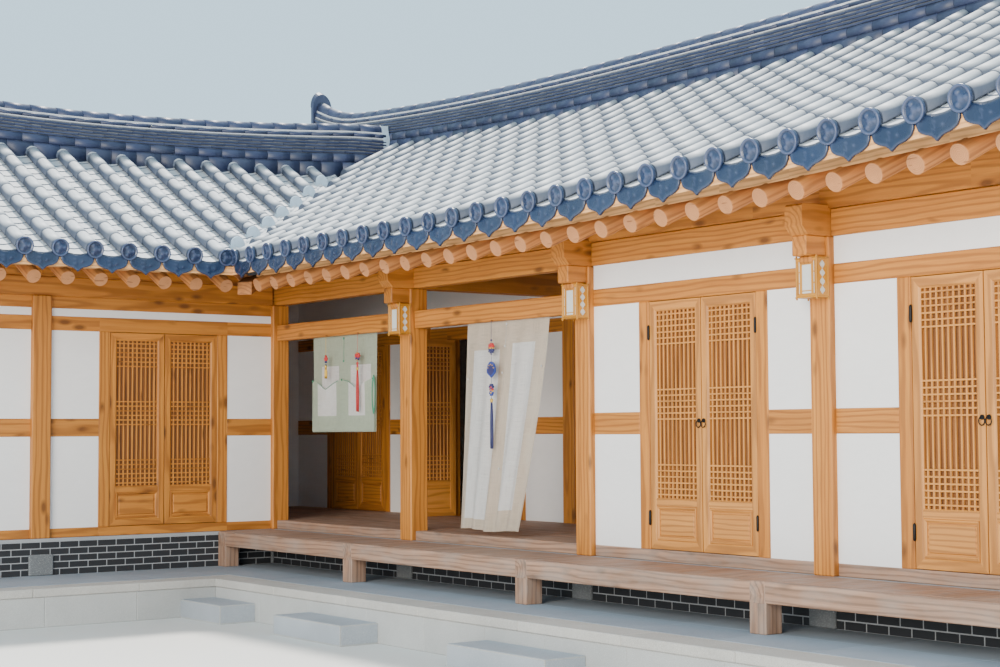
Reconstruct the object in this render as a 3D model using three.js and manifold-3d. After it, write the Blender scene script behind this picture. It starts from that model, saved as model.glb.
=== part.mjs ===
// Hanok house: an L-shaped, gable-roofed timber house with an open board-floored hall, on a stone platform.
// Millimetres, +Z up. X runs along the main facade, Y runs into the house, and the short wing runs towards -Y.
import * as THREE from 'three';
import { mergeVertices } from 'three/addons/utils/BufferGeometryUtils.js';
import Module from 'manifold-3d';

const wasm = await Module();
wasm.setup();

// Driving dimensions: the column grid, by column centre lines
const CORNER_BAY = 3000;
const BAY = 2700;
const DEPTH = 5000;
const HALL_DEPTH = 2000;
const LINES = [0, 1, 2, 3, 4, 5].map((n) => (n === 0 ? 0 : CORNER_BAY + (n - 1) * BAY));
const WING_WIDTH = CORNER_BAY;
const WING_LENGTH = 2 * BAY;
const RIGHT = LINES[5];
const FIT = 0.3;

// Heights above the ground
const PLATFORM_TOP = 350;
const COPING = 75;
const PORCH_TOP = 715;
const FLOOR_TOP = 807;
const MID_RAIL = [1723, 1902];
const LINTEL = [2789, 2933];
const OPEN_LINTEL = [2745, 2915];
const PLATE_BOTTOM = 3131;
const PURLIN_BOTTOM = 3328;

// Timber and wall sections, as offsets from a wall's centre line towards the outside
const COLUMN = 195;
const RAIL_FACE = 47.5;
const PLASTER_FACE = 40;
const CORE_FACE = 2.2;
const CORE_BACK = -47.5;
const JAMB = 120;

// Doors
const LEAF = { width: 597.5, thick: 45, bottom: 812.5, top: 2783.5, recess: 5, gap: 10, side: 5 };
const DOORWAY = 2 * LEAF.width + LEAF.gap + 2 * LEAF.side;
const HINGE = { proud: 7.5, in: 2.5 };
const DOOR_SHIFT = 50;

// Roof: heights over the distance from the eave, measured level
const EAVE = 1140;
const VERGE = 430;
const TILE_BED = { start: 3435, slope: 0.43, curve: 1.02e-5 };
const RAFTER_TOP = { start: 3205, slope: 0.455 };
const MAIN_RUN = DEPTH / 2 + EAVE;
const WING_RUN = WING_WIDTH / 2 + EAVE;
const WING_STEEPER = 1.13;
const RAFTER = { radius: 66, pitch: 337.5, phase: -84.4, end: 212, sides: 8 };
const EAVE_BOARD = { near: 272, far: 332, lip: 92 };
const RIDGE_HEIGHT = 535;
const RIDGE_HALF = 150;
const BOARD = 40;

const MAIN_RIDGE_Y = DEPTH / 2;
const WING_RIDGE_X = WING_WIDTH / 2;
const X_LOW = -EAVE;
const X_HIGH = RIGHT + VERGE + BOARD;
const Y_LOW = -WING_LENGTH - VERGE - BOARD;
const Y_HIGH = DEPTH + EAVE;
const VERGE_LEFT = -VERGE;
const VERGE_RIGHT = RIGHT + VERGE;
const WING_VERGE = -WING_LENGTH - VERGE;
const X_LOW_RIDGE = VERGE_LEFT - BOARD;

// Colours
const finish = (color, roughness) => new THREE.MeshStandardMaterial({ color, roughness, metalness: 0 });
const TIMBER = finish(0xc78850, 0.6);
const OLD_TIMBER = finish(0x8a6247, 0.7);
const PLASTER = finish(0xe4e2e4, 0.9);
const GRANITE = finish(0xa9adb0, 0.85);
const BRICK = finish(0x2c2d31, 0.85);
const TILE = finish(0x6d7888, 0.5);
const PAPER = finish(0xf0ead8, 0.9);
const RAMIE = finish(0xd8d0c0, 0.9);
const GREEN_RAMIE = finish(0xc2cdb6, 0.9);

// Solid helpers
const solid = (geometry) => {
  const bare = geometry.clone();
  bare.deleteAttribute('normal');
  bare.deleteAttribute('uv');
  const merged = mergeVertices(bare);
  const vertProperties = new Float32Array(merged.attributes.position.array);
  const triVerts = new Uint32Array(merged.index.array);
  return new wasm.Manifold(new wasm.Mesh({ numProp: 3, vertProperties, triVerts }));
};

const geometryOf = (body) => {
  const mesh = body.getMesh();
  const geometry = new THREE.BufferGeometry();
  geometry.setAttribute('position', new THREE.BufferAttribute(new Float32Array(mesh.vertProperties), 3));
  geometry.setIndex(new THREE.BufferAttribute(new Uint32Array(mesh.triVerts), 1));
  geometry.computeVertexNormals();
  return geometry;
};

const join = (...bodies) => bodies.flat().reduce((sum, body) => sum.add(body));
const cut = (body, ...tools) => tools.flat().reduce((rest, tool) => rest.subtract(tool), body);

const block = (x0, x1, y0, y1, z0, z1) => {
  const geometry = new THREE.BoxGeometry(x1 - x0, y1 - y0, z1 - z0);
  geometry.translate((x0 + x1) / 2, (y0 + y1) / 2, (z0 + z1) / 2);
  return solid(geometry);
};

// A plan outline raised from z0 to z1
const plate = (outline, z0, z1) => {
  const shape = new THREE.Shape(outline.map(([x, y]) => new THREE.Vector2(x, y)));
  const geometry = new THREE.ExtrudeGeometry(shape, { depth: z1 - z0, bevelEnabled: false });
  geometry.translate(0, 0, z0);
  return solid(geometry);
};

// A closed body through like sections, each a ring of as many points, counter-clockwise seen from the far end
const loft = (rings) => {
  const count = rings[0].length;
  const positions = rings.flat(2);
  const index = [];
  for (let r = 0; r + 1 < rings.length; r += 1) {
    for (let i = 0; i < count; i += 1) {
      const a = r * count + i;
      const b = r * count + ((i + 1) % count);
      index.push(a, b, b + count, a, b + count, a + count);
    }
  }
  const flat = (ring) => {
    const along = Math.abs(ring[0][0] - rings[1][0][0]) > Math.abs(ring[0][1] - rings[1][0][1]) ? 1 : 0;
    return ring.map((p) => new THREE.Vector2(p[along], p[2]));
  };
  const last = (rings.length - 1) * count;
  const contour = flat(rings[0]);
  const turn = Math.sign(THREE.ShapeUtils.area(contour));
  for (const [a, p, q] of THREE.ShapeUtils.triangulateShape(contour, [])) {
    const same = THREE.ShapeUtils.area([contour[a], contour[p], contour[q]]) * turn > 0;
    const [b, c] = same ? [p, q] : [q, p];
    index.push(a, c, b);
    index.push(last + a, last + b, last + c);
  }
  const geometry = new THREE.BufferGeometry();
  geometry.setAttribute('position', new THREE.Float32BufferAttribute(positions, 3));
  geometry.setIndex(index);
  const body = solid(geometry);
  return body.volume() > 0 ? body : solid(flipped(geometry));
};

const flipped = (geometry) => {
  const index = geometry.index.array;
  for (let i = 0; i < index.length; i += 3) {
    [index[i], index[i + 1]] = [index[i + 1], index[i]];
  }
  return geometry;
};

const house = new THREE.Group();
const add = (name, body, material, place) => {
  const mesh = new THREE.Mesh(geometryOf(body), material);
  mesh.name = name;
  if (place) {
    mesh.position.set(...place.at);
    mesh.rotation.z = place.turn;
  }
  house.add(mesh);
};

// Roof surfaces
const tileBed = (d) => TILE_BED.start + TILE_BED.slope * d + TILE_BED.curve * d * d;
const rafterTop = (d) => RAFTER_TOP.start + RAFTER_TOP.slope * d;
const EAVE_RISE = { from: 6300, over: 6735, by: 168 };
const RIDGE_RISE = { middle: 6900, over: 5000, by: 120, power: 2.5 };
const WING_RISE = { middle: -1850, over: 3920, slab: 140, ridge: 230, power: 1.8 };
const frontEaveRise = (x) => EAVE_RISE.by * (Math.max(0, x - EAVE_RISE.from) / EAVE_RISE.over) ** 2;
const backEaveRise = (x) => frontEaveRise(RIDGE_RISE.middle + Math.abs(x - RIDGE_RISE.middle));
const ridgeRise = (x) => RIDGE_RISE.by * (Math.abs(x - RIDGE_RISE.middle) / RIDGE_RISE.over) ** RIDGE_RISE.power;
const wingRise = (y) => (Math.abs(y - WING_RISE.middle) / WING_RISE.over) ** WING_RISE.power;

// Height of a surface of the main roof at x, at distance d from the eave; front or back slope
const onMain = (surface, back) => (x, d) => {
  const t = d / MAIN_RUN;
  const eave = back ? backEaveRise(x) : frontEaveRise(x);
  return surface(d) + (1 - t) * eave + t * ridgeRise(x);
};
const onWing = (surface) => (y, d) => surface(d * WING_STEEPER) + (d / WING_RUN) * WING_RISE.slab * wingRise(y);
const valleyY = (x) => -EAVE + WING_STEEPER * (WING_RUN - Math.abs(x - WING_RIDGE_X));
const VALLEY_TOP = valleyY(WING_RIDGE_X);

// Plan of the wing's roof, in front of the two valleys, grown by g
const wingPlan = (g) => [
  [WING_RIDGE_X, VALLEY_TOP + g],
  [VERGE_LEFT, valleyY(VERGE_LEFT) + g],
  [X_LOW - 200, valleyY(VERGE_LEFT) + g],
  [X_LOW - 200, Y_LOW],
  [WING_WIDTH + EAVE + 200, Y_LOW],
  [WING_WIDTH + EAVE + 200, -EAVE - 200 * WING_STEEPER + g],
];
const SKY = [0, 8000];
const steps = (from, to, count) => Array.from({ length: count + 1 }, (_, i) => from + ((to - from) * i) / count);

// One slope's bed of boards, earth and tiles: a section at each station along the eave, swept to the ridge
const SLOPE_POINTS = [0, 0.25, 0.5, 0.75, 1];
const slope = (stations, run, bed, under, place) =>
  loft(stations.map((s) => {
    const top = SLOPE_POINTS.map((t) => [t * (run - FIT), bed(s, t * (run - FIT))]);
    const lip = (d) => bed(s, d) - EAVE_BOARD.lip;
    const bottom = [
      [run - FIT, under(s, run - FIT)],
      [EAVE_BOARD.far + 1, under(s, EAVE_BOARD.far + 1)],
      [EAVE_BOARD.far + 1, lip(EAVE_BOARD.far + 1)],
      [0, lip(0)],
    ];
    return [...top, ...bottom].map(([d, z]) => place(s, d, z));
  }));

const rafterStations = (low, high, phase) => {
  const first = Math.ceil((low - phase) / RAFTER.pitch);
  const last = Math.floor((high - phase) / RAFTER.pitch);
  return Array.from({ length: last - first + 1 }, (_, i) => phase + (first + i) * RAFTER.pitch);
};
const MAIN_RAFTERS = rafterStations(VERGE_LEFT + 90, VERGE_RIGHT - 90, RAFTER.phase + CORNER_BAY);
const WING_RAFTERS = rafterStations(WING_VERGE + 90, VALLEY_TOP - 250, RAFTER.phase);
const mainStations = [VERGE_LEFT, ...MAIN_RAFTERS, VERGE_RIGHT];
const wingStations = [WING_VERGE, ...WING_RAFTERS, VALLEY_TOP - 10];
const everySecond = (list) => list.filter((_, i) => i % 2 === 0 || i === list.length - 1);

const frontPlace = (x, d, z) => [x, -EAVE + d, z];
const backPlace = (x, d, z) => [x, Y_HIGH - d, z];
const courtPlace = (y, d, z) => [WING_WIDTH + EAVE - d, y, z];
const outerPlace = (y, d, z) => [-EAVE + d, y, z];

// A round rafter from the eave to a level distance short of the ridge, lying just under the bed
const SEAT = 0.3;
const TWIST_SEAT = 0.1;
const RAFTER_CORNERS = steps(0.5, RAFTER.sides - 0.5, RAFTER.sides - 1).map((i) => (i * 2 * Math.PI) / RAFTER.sides);
const lieOf = (under, s, d) => {
  const rise = (at) => under(s + 1, at) - under(s, at);
  const tilt = Math.atan(under(s, 1) - under(s, 0));
  const twist = Math.abs(rise(MAIN_RUN) - rise(0)) * RAFTER.pitch;
  const deep = RAFTER.radius * Math.hypot(1, Math.tan(tilt), rise(d));
  return { tilt, roll: Math.atan(rise(d) * Math.cos(tilt)), deep, seat: SEAT + TWIST_SEAT * twist };
};
const rafter = (s, under, place, far) => {
  const reach = RAFTER.radius / Math.cos(Math.PI / RAFTER.sides);
  return loft([RAFTER.end, far].map((d) => {
    const lie = lieOf(under, s, d);
    const middle = under(s, d) - lie.seat - lie.deep;
    return RAFTER_CORNERS.map((a) => {
      const [side, up] = [reach * Math.cos(a + lie.roll), reach * Math.sin(a + lie.roll)];
      return place(s + side, d - Math.sin(lie.tilt) * up, middle + Math.cos(lie.tilt) * up);
    });
  }));
};
const RAFTER_SHORT = 35;
const rafterUnder = (under, s, d) => {
  const lie = lieOf(under, s, d);
  return under(s, d) - lie.seat - 2 * lie.deep;
};

// The board along the rafter ends that carries the lowest tiles
const eaveBoard = (stations, bed, under, place) =>
  loft(stations.map((s) => [
    [EAVE_BOARD.near, under(s, EAVE_BOARD.near) - 20],
    [EAVE_BOARD.far, under(s, EAVE_BOARD.far) - 20],
    [EAVE_BOARD.far, bed(s, EAVE_BOARD.far) - EAVE_BOARD.lip - 3],
    [EAVE_BOARD.near, bed(s, EAVE_BOARD.near) - EAVE_BOARD.lip - 3],
  ].map(([d, z]) => place(s, d, z))));

// A beam under the rafters from distance d0 to d1, its top sloped to them; sink > 0 sets it into them
const purlin = (stations, under, place, d0, d1, bottom, sink) =>
  loft(stations.map((s) => [
    [d0, bottom],
    [d1, bottom],
    [d1, rafterUnder(under, s, d1) + sink],
    [d0, rafterUnder(under, s, d0) + sink],
  ].map(([d, z]) => place(s, d, z))));

// Platform, step stones and foundation
const PLATFORM_FRONT = 1508;
const PLATFORM_SIDE = 400;
const PLATFORM_BACK = 800;
const platformPlan = (inset) => [
  [-PLATFORM_BACK + inset, -WING_LENGTH - PLATFORM_SIDE + inset],
  [WING_WIDTH + PLATFORM_FRONT - inset, -WING_LENGTH - PLATFORM_SIDE + inset],
  [WING_WIDTH + PLATFORM_FRONT - inset, -PLATFORM_FRONT + inset],
  [RIGHT + PLATFORM_SIDE - inset, -PLATFORM_FRONT + inset],
  [RIGHT + PLATFORM_SIDE - inset, DEPTH + PLATFORM_BACK - inset],
  [-PLATFORM_BACK + inset, DEPTH + PLATFORM_BACK - inset],
];
const COPING_WIDTH = 320;
const COPING_LIP = 15;
const STEP_STONES = [[4300, 5300], [6300, 7420], [8950, 10150]];
const STEP_DEPTH = 370;
const STEP_HEIGHT = 170;

const buildBase = () => {
  const under = PLATFORM_TOP - COPING;
  const mass = plate(platformPlan(COPING_LIP), 0, under);
  const paving = plate(platformPlan(COPING_WIDTH + 1), under - 5, PLATFORM_TOP);
  const front = -PLATFORM_FRONT + COPING_LIP;
  const stones = STEP_STONES.map(([a, b]) => block(a, b, front - STEP_DEPTH, front + 5, 0, STEP_HEIGHT));
  add('stone_platform', join(mass, paving, stones), GRANITE);
  const ring = plate(platformPlan(0), under + FIT, PLATFORM_TOP);
  const hole = plate(platformPlan(COPING_WIDTH), under - 1, PLATFORM_TOP + 1);
  add('platform_coping', cut(ring, hole), GRANITE);

  const half = COLUMN / 2;
  const z = [PLATFORM_TOP + FIT, PORCH_TOP - FIT];
  const walls = [
    block(-half, RIGHT + half, -half, half, ...z),
    block(-half, RIGHT + half, DEPTH - half, DEPTH + half, ...z),
    block(-half, half, -WING_LENGTH - half, DEPTH + half, ...z),
    block(RIGHT - half, RIGHT + half, -half, DEPTH + half, ...z),
    block(WING_WIDTH - half, WING_WIDTH + half, -WING_LENGTH - half, half, ...z),
    block(-half, WING_WIDTH + half, -WING_LENGTH - half, -WING_LENGTH + half, ...z),
    block(-half, LINES[3] + half, HALL_DEPTH - half, HALL_DEPTH + half, ...z),
    block(LINES[3] - half, LINES[3] + half, -half, HALL_DEPTH + half, ...z),
  ];
  add('brick_foundation', join(walls), BRICK);
};

// Floors and the narrow porch
const PORCH_FRONT = -750;
const PORCH_POST = 160;
const PORCH_BEAM = 150;
const DECK = 30;

const buildFloors = () => {
  const half = COLUMN / 2;
  const inner = -CORE_BACK + 0.5;
  const low = FLOOR_TOP - 40;
  const posts = LINES.map((x) => [x, 0]).concat([[WING_WIDTH, -WING_LENGTH]]);
  const columns = posts.map(([x, y]) => {
    const reach = half + FIT;
    return block(x - reach, x + reach, y - reach, y + reach, 0, FLOOR_TOP + COLUMN);
  });
  const hall = block(inner, LINES[3] - inner, inner, HALL_DEPTH - inner, low, FLOOR_TOP);
  const sills = [1, 2].map((n) =>
    block(LINES[n] + half + FIT, LINES[n + 1] - half - FIT, -RAIL_FACE, inner + 1, PORCH_TOP + FIT, FLOOR_TOP));
  add('hall_floor', cut(join(hall, sills), columns, HALL_WALLS.map((wall) => wallFrame(wall, FIT))), OLD_TIMBER);
  const backRooms = block(inner, RIGHT - inner, HALL_DEPTH + inner, DEPTH - inner, low, FLOOR_TOP);
  const frontRooms = block(LINES[3] + inner, RIGHT - inner, inner, DEPTH - inner, low, FLOOR_TOP);
  add('room_floor', cut(join(backRooms, frontRooms), columns), OLD_TIMBER);
  const wingSides = [inner, WING_WIDTH - inner, -WING_LENGTH + inner, -inner];
  add('wing_floor', cut(block(...wingSides, low, FLOOR_TOP), columns), OLD_TIMBER);

  const left = WING_WIDTH + half + FIT;
  const right = RIGHT + half;
  const back = -half - 0.5;
  const beamBottom = PORCH_TOP - PORCH_BEAM;
  const edge = block(left, right, PORCH_FRONT, PORCH_FRONT + 100, beamBottom, PORCH_TOP);
  const ledger = block(left, right, back - 70, back, beamBottom, PORCH_TOP - DECK - FIT);
  const legs = LINES.slice(1).map((x) => {
    const a = Math.max(left, x - PORCH_POST / 2);
    const b = a + PORCH_POST;
    const post = block(a, b, PORCH_FRONT, PORCH_FRONT + PORCH_POST, PLATFORM_TOP + FIT, PORCH_TOP - DECK - FIT);
    return join(post, block(a, b, PORCH_FRONT + 50, back - 20, beamBottom, PORCH_TOP - DECK - FIT));
  });
  add('porch_frame', join(edge, ledger, legs), OLD_TIMBER);
  add('porch_deck', block(left, right, PORCH_FRONT + 100 + FIT, back, PORCH_TOP - DECK, PORCH_TOP), OLD_TIMBER);
};

// Columns with the bracket arm that carries the beam head
const BRACKET = { width: 140, reach: 200, bottom: 2986, top: 3149 };
const BEAM = { width: 170, bottom: 3131, head: 3350, top: 3440, reach: 250, taper: 60 };

const buildColumns = () => {
  const half = COLUMN / 2;
  LINES.slice(1).forEach((x, n) => {
    const post = block(x - half, x + half, -half, half, PORCH_TOP, PLATE_BOTTOM - FIT);
    const arm = block(x - BRACKET.width / 2, x + BRACKET.width / 2, -half - BRACKET.reach, -half + 5,
      BRACKET.bottom, PLATE_BOTTOM - FIT);
    add(`front_column_${n + 1}`, n === 0 ? post : join(post, arm), TIMBER);
  });
};

// Beams from the front columns into the house, with heads that taper outside
const beamBody = (x, back, grow) => {
  const half = BEAM.width / 2 + grow;
  const front = -COLUMN / 2 - BEAM.reach;
  const outline = [
    [front - grow, BEAM.bottom - grow],
    [back + grow, BEAM.bottom - grow],
    [back + grow, BEAM.top + grow],
    [500, BEAM.top + grow],
    [400, BEAM.head + grow],
    [front + BEAM.taper - grow, BEAM.head + grow],
  ];
  return loft([x - half, x + half].map((at) => outline.map(([y, z]) => [at, y, z])));
};
const HALL_FACE = HALL_DEPTH - CORE_FACE - FIT;
const BEAMS = [
  { x: LINES[2], back: HALL_FACE },
  { x: LINES[3], back: HALL_FACE },
  { x: LINES[4], back: DEPTH - 80 - FIT },
  { x: LINES[5], back: HALL_DEPTH - COLUMN / 2 },
];
const grownBeams = BEAMS.map((beam) => beamBody(beam.x, beam.back, FIT));

const buildBeams = () => BEAMS.forEach((b, n) => add(`cross_beam_${n + 1}`, beamBody(b.x, b.back, 0), TIMBER));

// Under the rafters
const frontUnder = onMain(rafterTop, false);
const backUnder = onMain(rafterTop, true);
const wingUnder = onWing(rafterTop);
const frontBed = onMain(tileBed, false);
const backBed = onMain(tileBed, true);
const wingBed = onWing(tileBed);

const PURLIN_WIDTH = 160;
const PURLIN_SEAT = 4;
const EAVE_PURLIN = [EAVE - PURLIN_WIDTH / 2, EAVE + PURLIN_WIDTH / 2];
const INNER_PURLIN = [HALL_DEPTH + EAVE - 90, HALL_DEPTH + EAVE + 90];
const INNER_PURLIN_BOTTOM = 4230;
const RIDGE_PURLIN_HALF = 90;
const RIDGE_PURLIN_TALL = 200;
const everyThird = (list) => list.filter((_, i) => i % 3 === 0);
const mainSpan = [VERGE_LEFT + 1, ...everyThird(MAIN_RAFTERS), VERGE_RIGHT - 1];
const wingSpan = (end) => [WING_VERGE + 1, ...everyThird(WING_RAFTERS).filter((y) => y < end - 50), end];

// The plate and the purlin over a row of columns, one tall beam with a step at their joint
const eavePurlin = (stations, under, place) => {
  const upper = purlin(stations, under, place, ...EAVE_PURLIN, PURLIN_BOTTOM - 5, -PURLIN_SEAT);
  const ends = [stations[0], stations[stations.length - 1]];
  const [near, far] = [EAVE_PURLIN[0] + 20, EAVE_PURLIN[1] - 20];
  const outline = [[near, PLATE_BOTTOM], [far, PLATE_BOTTOM], [far, PURLIN_BOTTOM], [near, PURLIN_BOTTOM]];
  return join(upper, loft(ends.map((s) => outline.map(([d, z]) => place(s, d, z)))));
};

const mainRidgePurlinTop = (x) => rafterUnder(frontUnder, x, MAIN_RUN - RIDGE_PURLIN_HALF) - PURLIN_SEAT;
const wingRidgePurlinTop = (y) => rafterUnder(wingUnder, y, WING_RUN - RIDGE_PURLIN_HALF) - PURLIN_SEAT;

// Walls. A wall runs along x or y at a centre line, with its outer side towards out (+1 or -1)
const slab = (wall, a0, a1, o0, o1, z0, z1) => {
  const [low, high] = [wall.at + wall.out * o0, wall.at + wall.out * o1].sort((p, q) => p - q);
  return wall.along === 'x' ? block(a0, a1, low, high, z0, z1) : block(low, high, a0, a1, z0, z1);
};
const OUT = COLUMN / 2;
const WALL_BOTTOM = PORCH_TOP + FIT;
const WALL_TOP = PLATE_BOTTOM - FIT;
const FRAME_BACK = CORE_FACE + FIT;
const TOP_RAIL = 120;
const LEAF_SHEET = 10;

// The timber that shows on a wall's outer side: rails, posts, and the linings of its openings; all grown by g
const wallFrame = (wall, g = 0) => {
  const member = (a0, a1, o0, o1, z0, z1) => slab(wall, a0 - g, a1 + g, o0 - g, o1 + g, z0 - g, z1 + g);
  const topRail = [PLATE_BOTTOM - TOP_RAIL, wall.plated ? PLATE_BOTTOM + 5 : WALL_TOP];
  const rails = [[WALL_BOTTOM, FLOOR_TOP], MID_RAIL, LINTEL, topRail].map(([z0, z1]) =>
    member(wall.from, wall.to, FRAME_BACK, RAIL_FACE, z0, z1));
  const posts = wall.posts.map((p) =>
    member(Math.max(p - OUT, wall.from), Math.min(p + OUT, wall.to), FRAME_BACK, OUT, WALL_BOTTOM, WALL_TOP));
  const linings = wall.openings.map((o) => member(o.from - JAMB, o.to + JAMB, CORE_BACK, RAIL_FACE,
    o.bottom === FLOOR_TOP ? WALL_BOTTOM : o.bottom - 90, Math.min(o.top + 144, LINTEL[1])));
  const holes = wall.openings.map((o) => slab(wall, o.from + g, o.to - g, -200, 200, o.bottom + g, o.top - g));
  const leaves = wall.openings.map((o) =>
    member(o.fixedFrom ?? o.from - 5, o.to + 5, -LEAF_SHEET, LEAF_SHEET, o.bottom - 5, o.top + 5));
  return join(cut(join(rails, posts, linings), holes), leaves);
};

// The plaster sheet behind the timber, thicker where it fills the fields between the members
const wallSheet = (wall) => slab(wall, wall.from, wall.sheetTo ?? wall.to, CORE_BACK, PLASTER_FACE, WALL_BOTTOM,
  wall.top ?? WALL_TOP);
const openingHoles = (wall) => wall.openings.map((o) => slab(wall, o.from, o.to, -200, 200, o.bottom, o.top));

const WINDOW = { width: 1000, bottom: 1902, height: 800 };
const windows = (centres) => centres.map((c) => ({
  from: c - WINDOW.width / 2, to: c + WINDOW.width / 2, bottom: WINDOW.bottom, top: WINDOW.bottom + WINDOW.height,
}));
const doorway = (from) => ({ from, to: from + DOORWAY, bottom: FLOOR_TOP, top: LINTEL[0] });
const middles = (lines) => lines.slice(1).map((x, n) => (x + lines[n]) / 2);
const WING_LINES = [-WING_LENGTH, -WING_LENGTH / 2, 0];

// A gable's sheet: its top follows the underside of the rafters
const mainGable = (x, offsets) => {
  const top = (y) => {
    const back = y > MAIN_RIDGE_Y;
    const seat = back ? rafterUnder(backUnder, x, Y_HIGH - y) : rafterUnder(frontUnder, x, y + EAVE);
    return seat - 4;
  };
  const outline = [[200, WALL_TOP - 50], [DEPTH - 100, WALL_TOP - 50], [DEPTH - 100, top(DEPTH - 100)],
    [MAIN_RIDGE_Y, top(MAIN_RIDGE_Y)], [200, top(200)]];
  return loft(offsets.map((o) => outline.map(([y, z]) => [x + o, y, z])));
};
const wingGable = (y, offsets) => {
  const top = (d) => rafterUnder(wingUnder, y, d) - 4;
  const inset = 100;
  const outline = [[inset, WALL_TOP - 50], [WING_WIDTH - inset, WALL_TOP - 50], [WING_WIDTH - inset, top(EAVE + inset)],
    [WING_RIDGE_X, top(WING_RUN)], [inset, top(EAVE + inset)]];
  return loft(offsets.map((o) => outline.map(([x, z]) => [x, y + o, z])));
};

// Purlins run out through the gables, so the sheets are notched for them
const through = (x0, x1, y0, y1) => block(x0 - 1, x1 + 1, y0 - 1, y1 + 1, PLATE_BOTTOM - FIT, SKY[1]);
const mainNotches = (x) => [
  through(x - 200, x + 200, -80, 80),
  through(x - 200, x + 200, DEPTH - 80, DEPTH + 80),
  block(x - 200, x + 200, HALL_DEPTH - 91, HALL_DEPTH + 91, INNER_PURLIN_BOTTOM - SEAT, SKY[1]),
  block(x - 200, x + 200, MAIN_RIDGE_Y - 91, MAIN_RIDGE_Y + 91,
    mainRidgePurlinTop(MIDDLE_X) - RIDGE_PURLIN_TALL - SEAT, SKY[1]),
];
const MIDDLE_X = RIDGE_RISE.middle;
const wingNotches = (y) => [
  through(-80, 80, y - 200, y + 200),
  through(WING_WIDTH - 80, WING_WIDTH + 80, y - 200, y + 200),
  block(WING_RIDGE_X - 91, WING_RIDGE_X + 91, y - 200, y + 200,
    wingRidgePurlinTop(WING_RISE.middle) - RIDGE_PURLIN_TALL - SEAT, SKY[1]),
];

const OUTER_WALLS = [
  { along: 'x', at: DEPTH, out: 1, from: -OUT, to: RIGHT + OUT, plated: true, posts: LINES,
    openings: windows(middles(LINES)) },
  { along: 'y', at: 0, out: -1, from: -WING_LENGTH - OUT, to: DEPTH + OUT, plated: true,
    posts: [...WING_LINES, HALL_DEPTH, DEPTH], openings: windows([...middles(WING_LINES), 3500]) },
  { along: 'x', at: -WING_LENGTH, out: -1, from: -OUT, to: WING_WIDTH + OUT, posts: [0, WING_WIDTH],
    openings: windows([WING_RIDGE_X]) },
  { along: 'y', at: RIGHT, out: 1, from: OUT + FIT, to: DEPTH + OUT, posts: [HALL_DEPTH, DEPTH],
    openings: windows([3500]) },
];
const buildOuterWalls = () => {
  const cornerPost = (g) => block(WING_WIDTH - OUT - g, WING_WIDTH + OUT + g, -WING_LENGTH - OUT - g,
    -WING_LENGTH + OUT + g, WALL_BOTTOM - g, WALL_TOP + g);
  const plates = join(eavePurlin(mainSpan, backUnder, backPlace), eavePurlin(wingSpan(-81), wingUnder, outerPlace));
  add('outer_wall_frame', join(OUTER_WALLS.map((wall) => wallFrame(wall)), cornerPost(0), plates), TIMBER);

  const hallSide = { along: 'x', at: 0, out: 1, from: 0, to: WING_WIDTH - OUT - FIT, openings: [] };
  const sheets = [...OUTER_WALLS, hallSide].map(wallSheet);
  const gables = [
    mainGable(0, [-PLASTER_FACE, -CORE_BACK]),
    mainGable(RIGHT, [CORE_BACK, PLASTER_FACE]),
    wingGable(-WING_LENGTH, [-PLASTER_FACE, -CORE_BACK]),
  ];
  const notches = [...mainNotches(0), ...mainNotches(RIGHT), ...wingNotches(-WING_LENGTH), grownBeams[3]];
  const frame = [...OUTER_WALLS.map((wall) => wallFrame(wall, FIT)), cornerPost(FIT)];
  const openings = OUTER_WALLS.flatMap(openingHoles);
  add('outer_wall_plaster', cut(join(sheets, gables), openings, frame, notches), PLASTER);
};

// The wing's wall towards the courtyard
const buildCourtWall = () => {
  const wall = { along: 'y', at: WING_WIDTH, out: 1, from: -WING_LENGTH + OUT + FIT, to: -OUT - FIT, plated: true,
    posts: [-WING_LENGTH / 2], openings: middles(WING_LINES).map((c) => doorway(c - DOORWAY / 2)) };
  const purlinOver = eavePurlin(wingSpan(-81), wingUnder, courtPlace);
  add('court_wall_frame', join(wallFrame(wall), purlinOver), TIMBER);
  add('court_wall_plaster', cut(wallSheet(wall), openingHoles(wall), wallFrame(wall, FIT)), PLASTER);
};

// The back and side walls of the open hall; one doorway has a leaf that swings
const HALL_DOOR = 3560;
const HALL_WALLS = [
  { along: 'x', at: HALL_DEPTH, out: -1, from: -CORE_BACK + 0.5, to: LINES[3] - FRAME_BACK,
    sheetTo: LINES[3] - CORE_BACK, posts: LINES.slice(1, 4), top: INNER_PURLIN_BOTTOM - FIT,
    openings: [doorway(900), { ...doorway(HALL_DOOR), fixedFrom: HALL_DOOR + (DOORWAY + LEAF.gap) / 2 }, doorway(LINES[2] + 218)] },
  { along: 'y', at: LINES[3], out: -1, from: OUT + FIT, to: HALL_DEPTH - CORE_BACK, posts: [], openings: [] },
];
const buildHallWalls = () => {
  add('hall_wall_frame', join(HALL_WALLS.map((wall) => wallFrame(wall))), TIMBER);
  const holes = HALL_WALLS.flatMap(openingHoles);
  const frame = HALL_WALLS.map((wall) => wallFrame(wall, FIT));
  add('hall_wall_plaster', cut(join(HALL_WALLS.map(wallSheet)), holes, frame, grownBeams), PLASTER);
};

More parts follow.
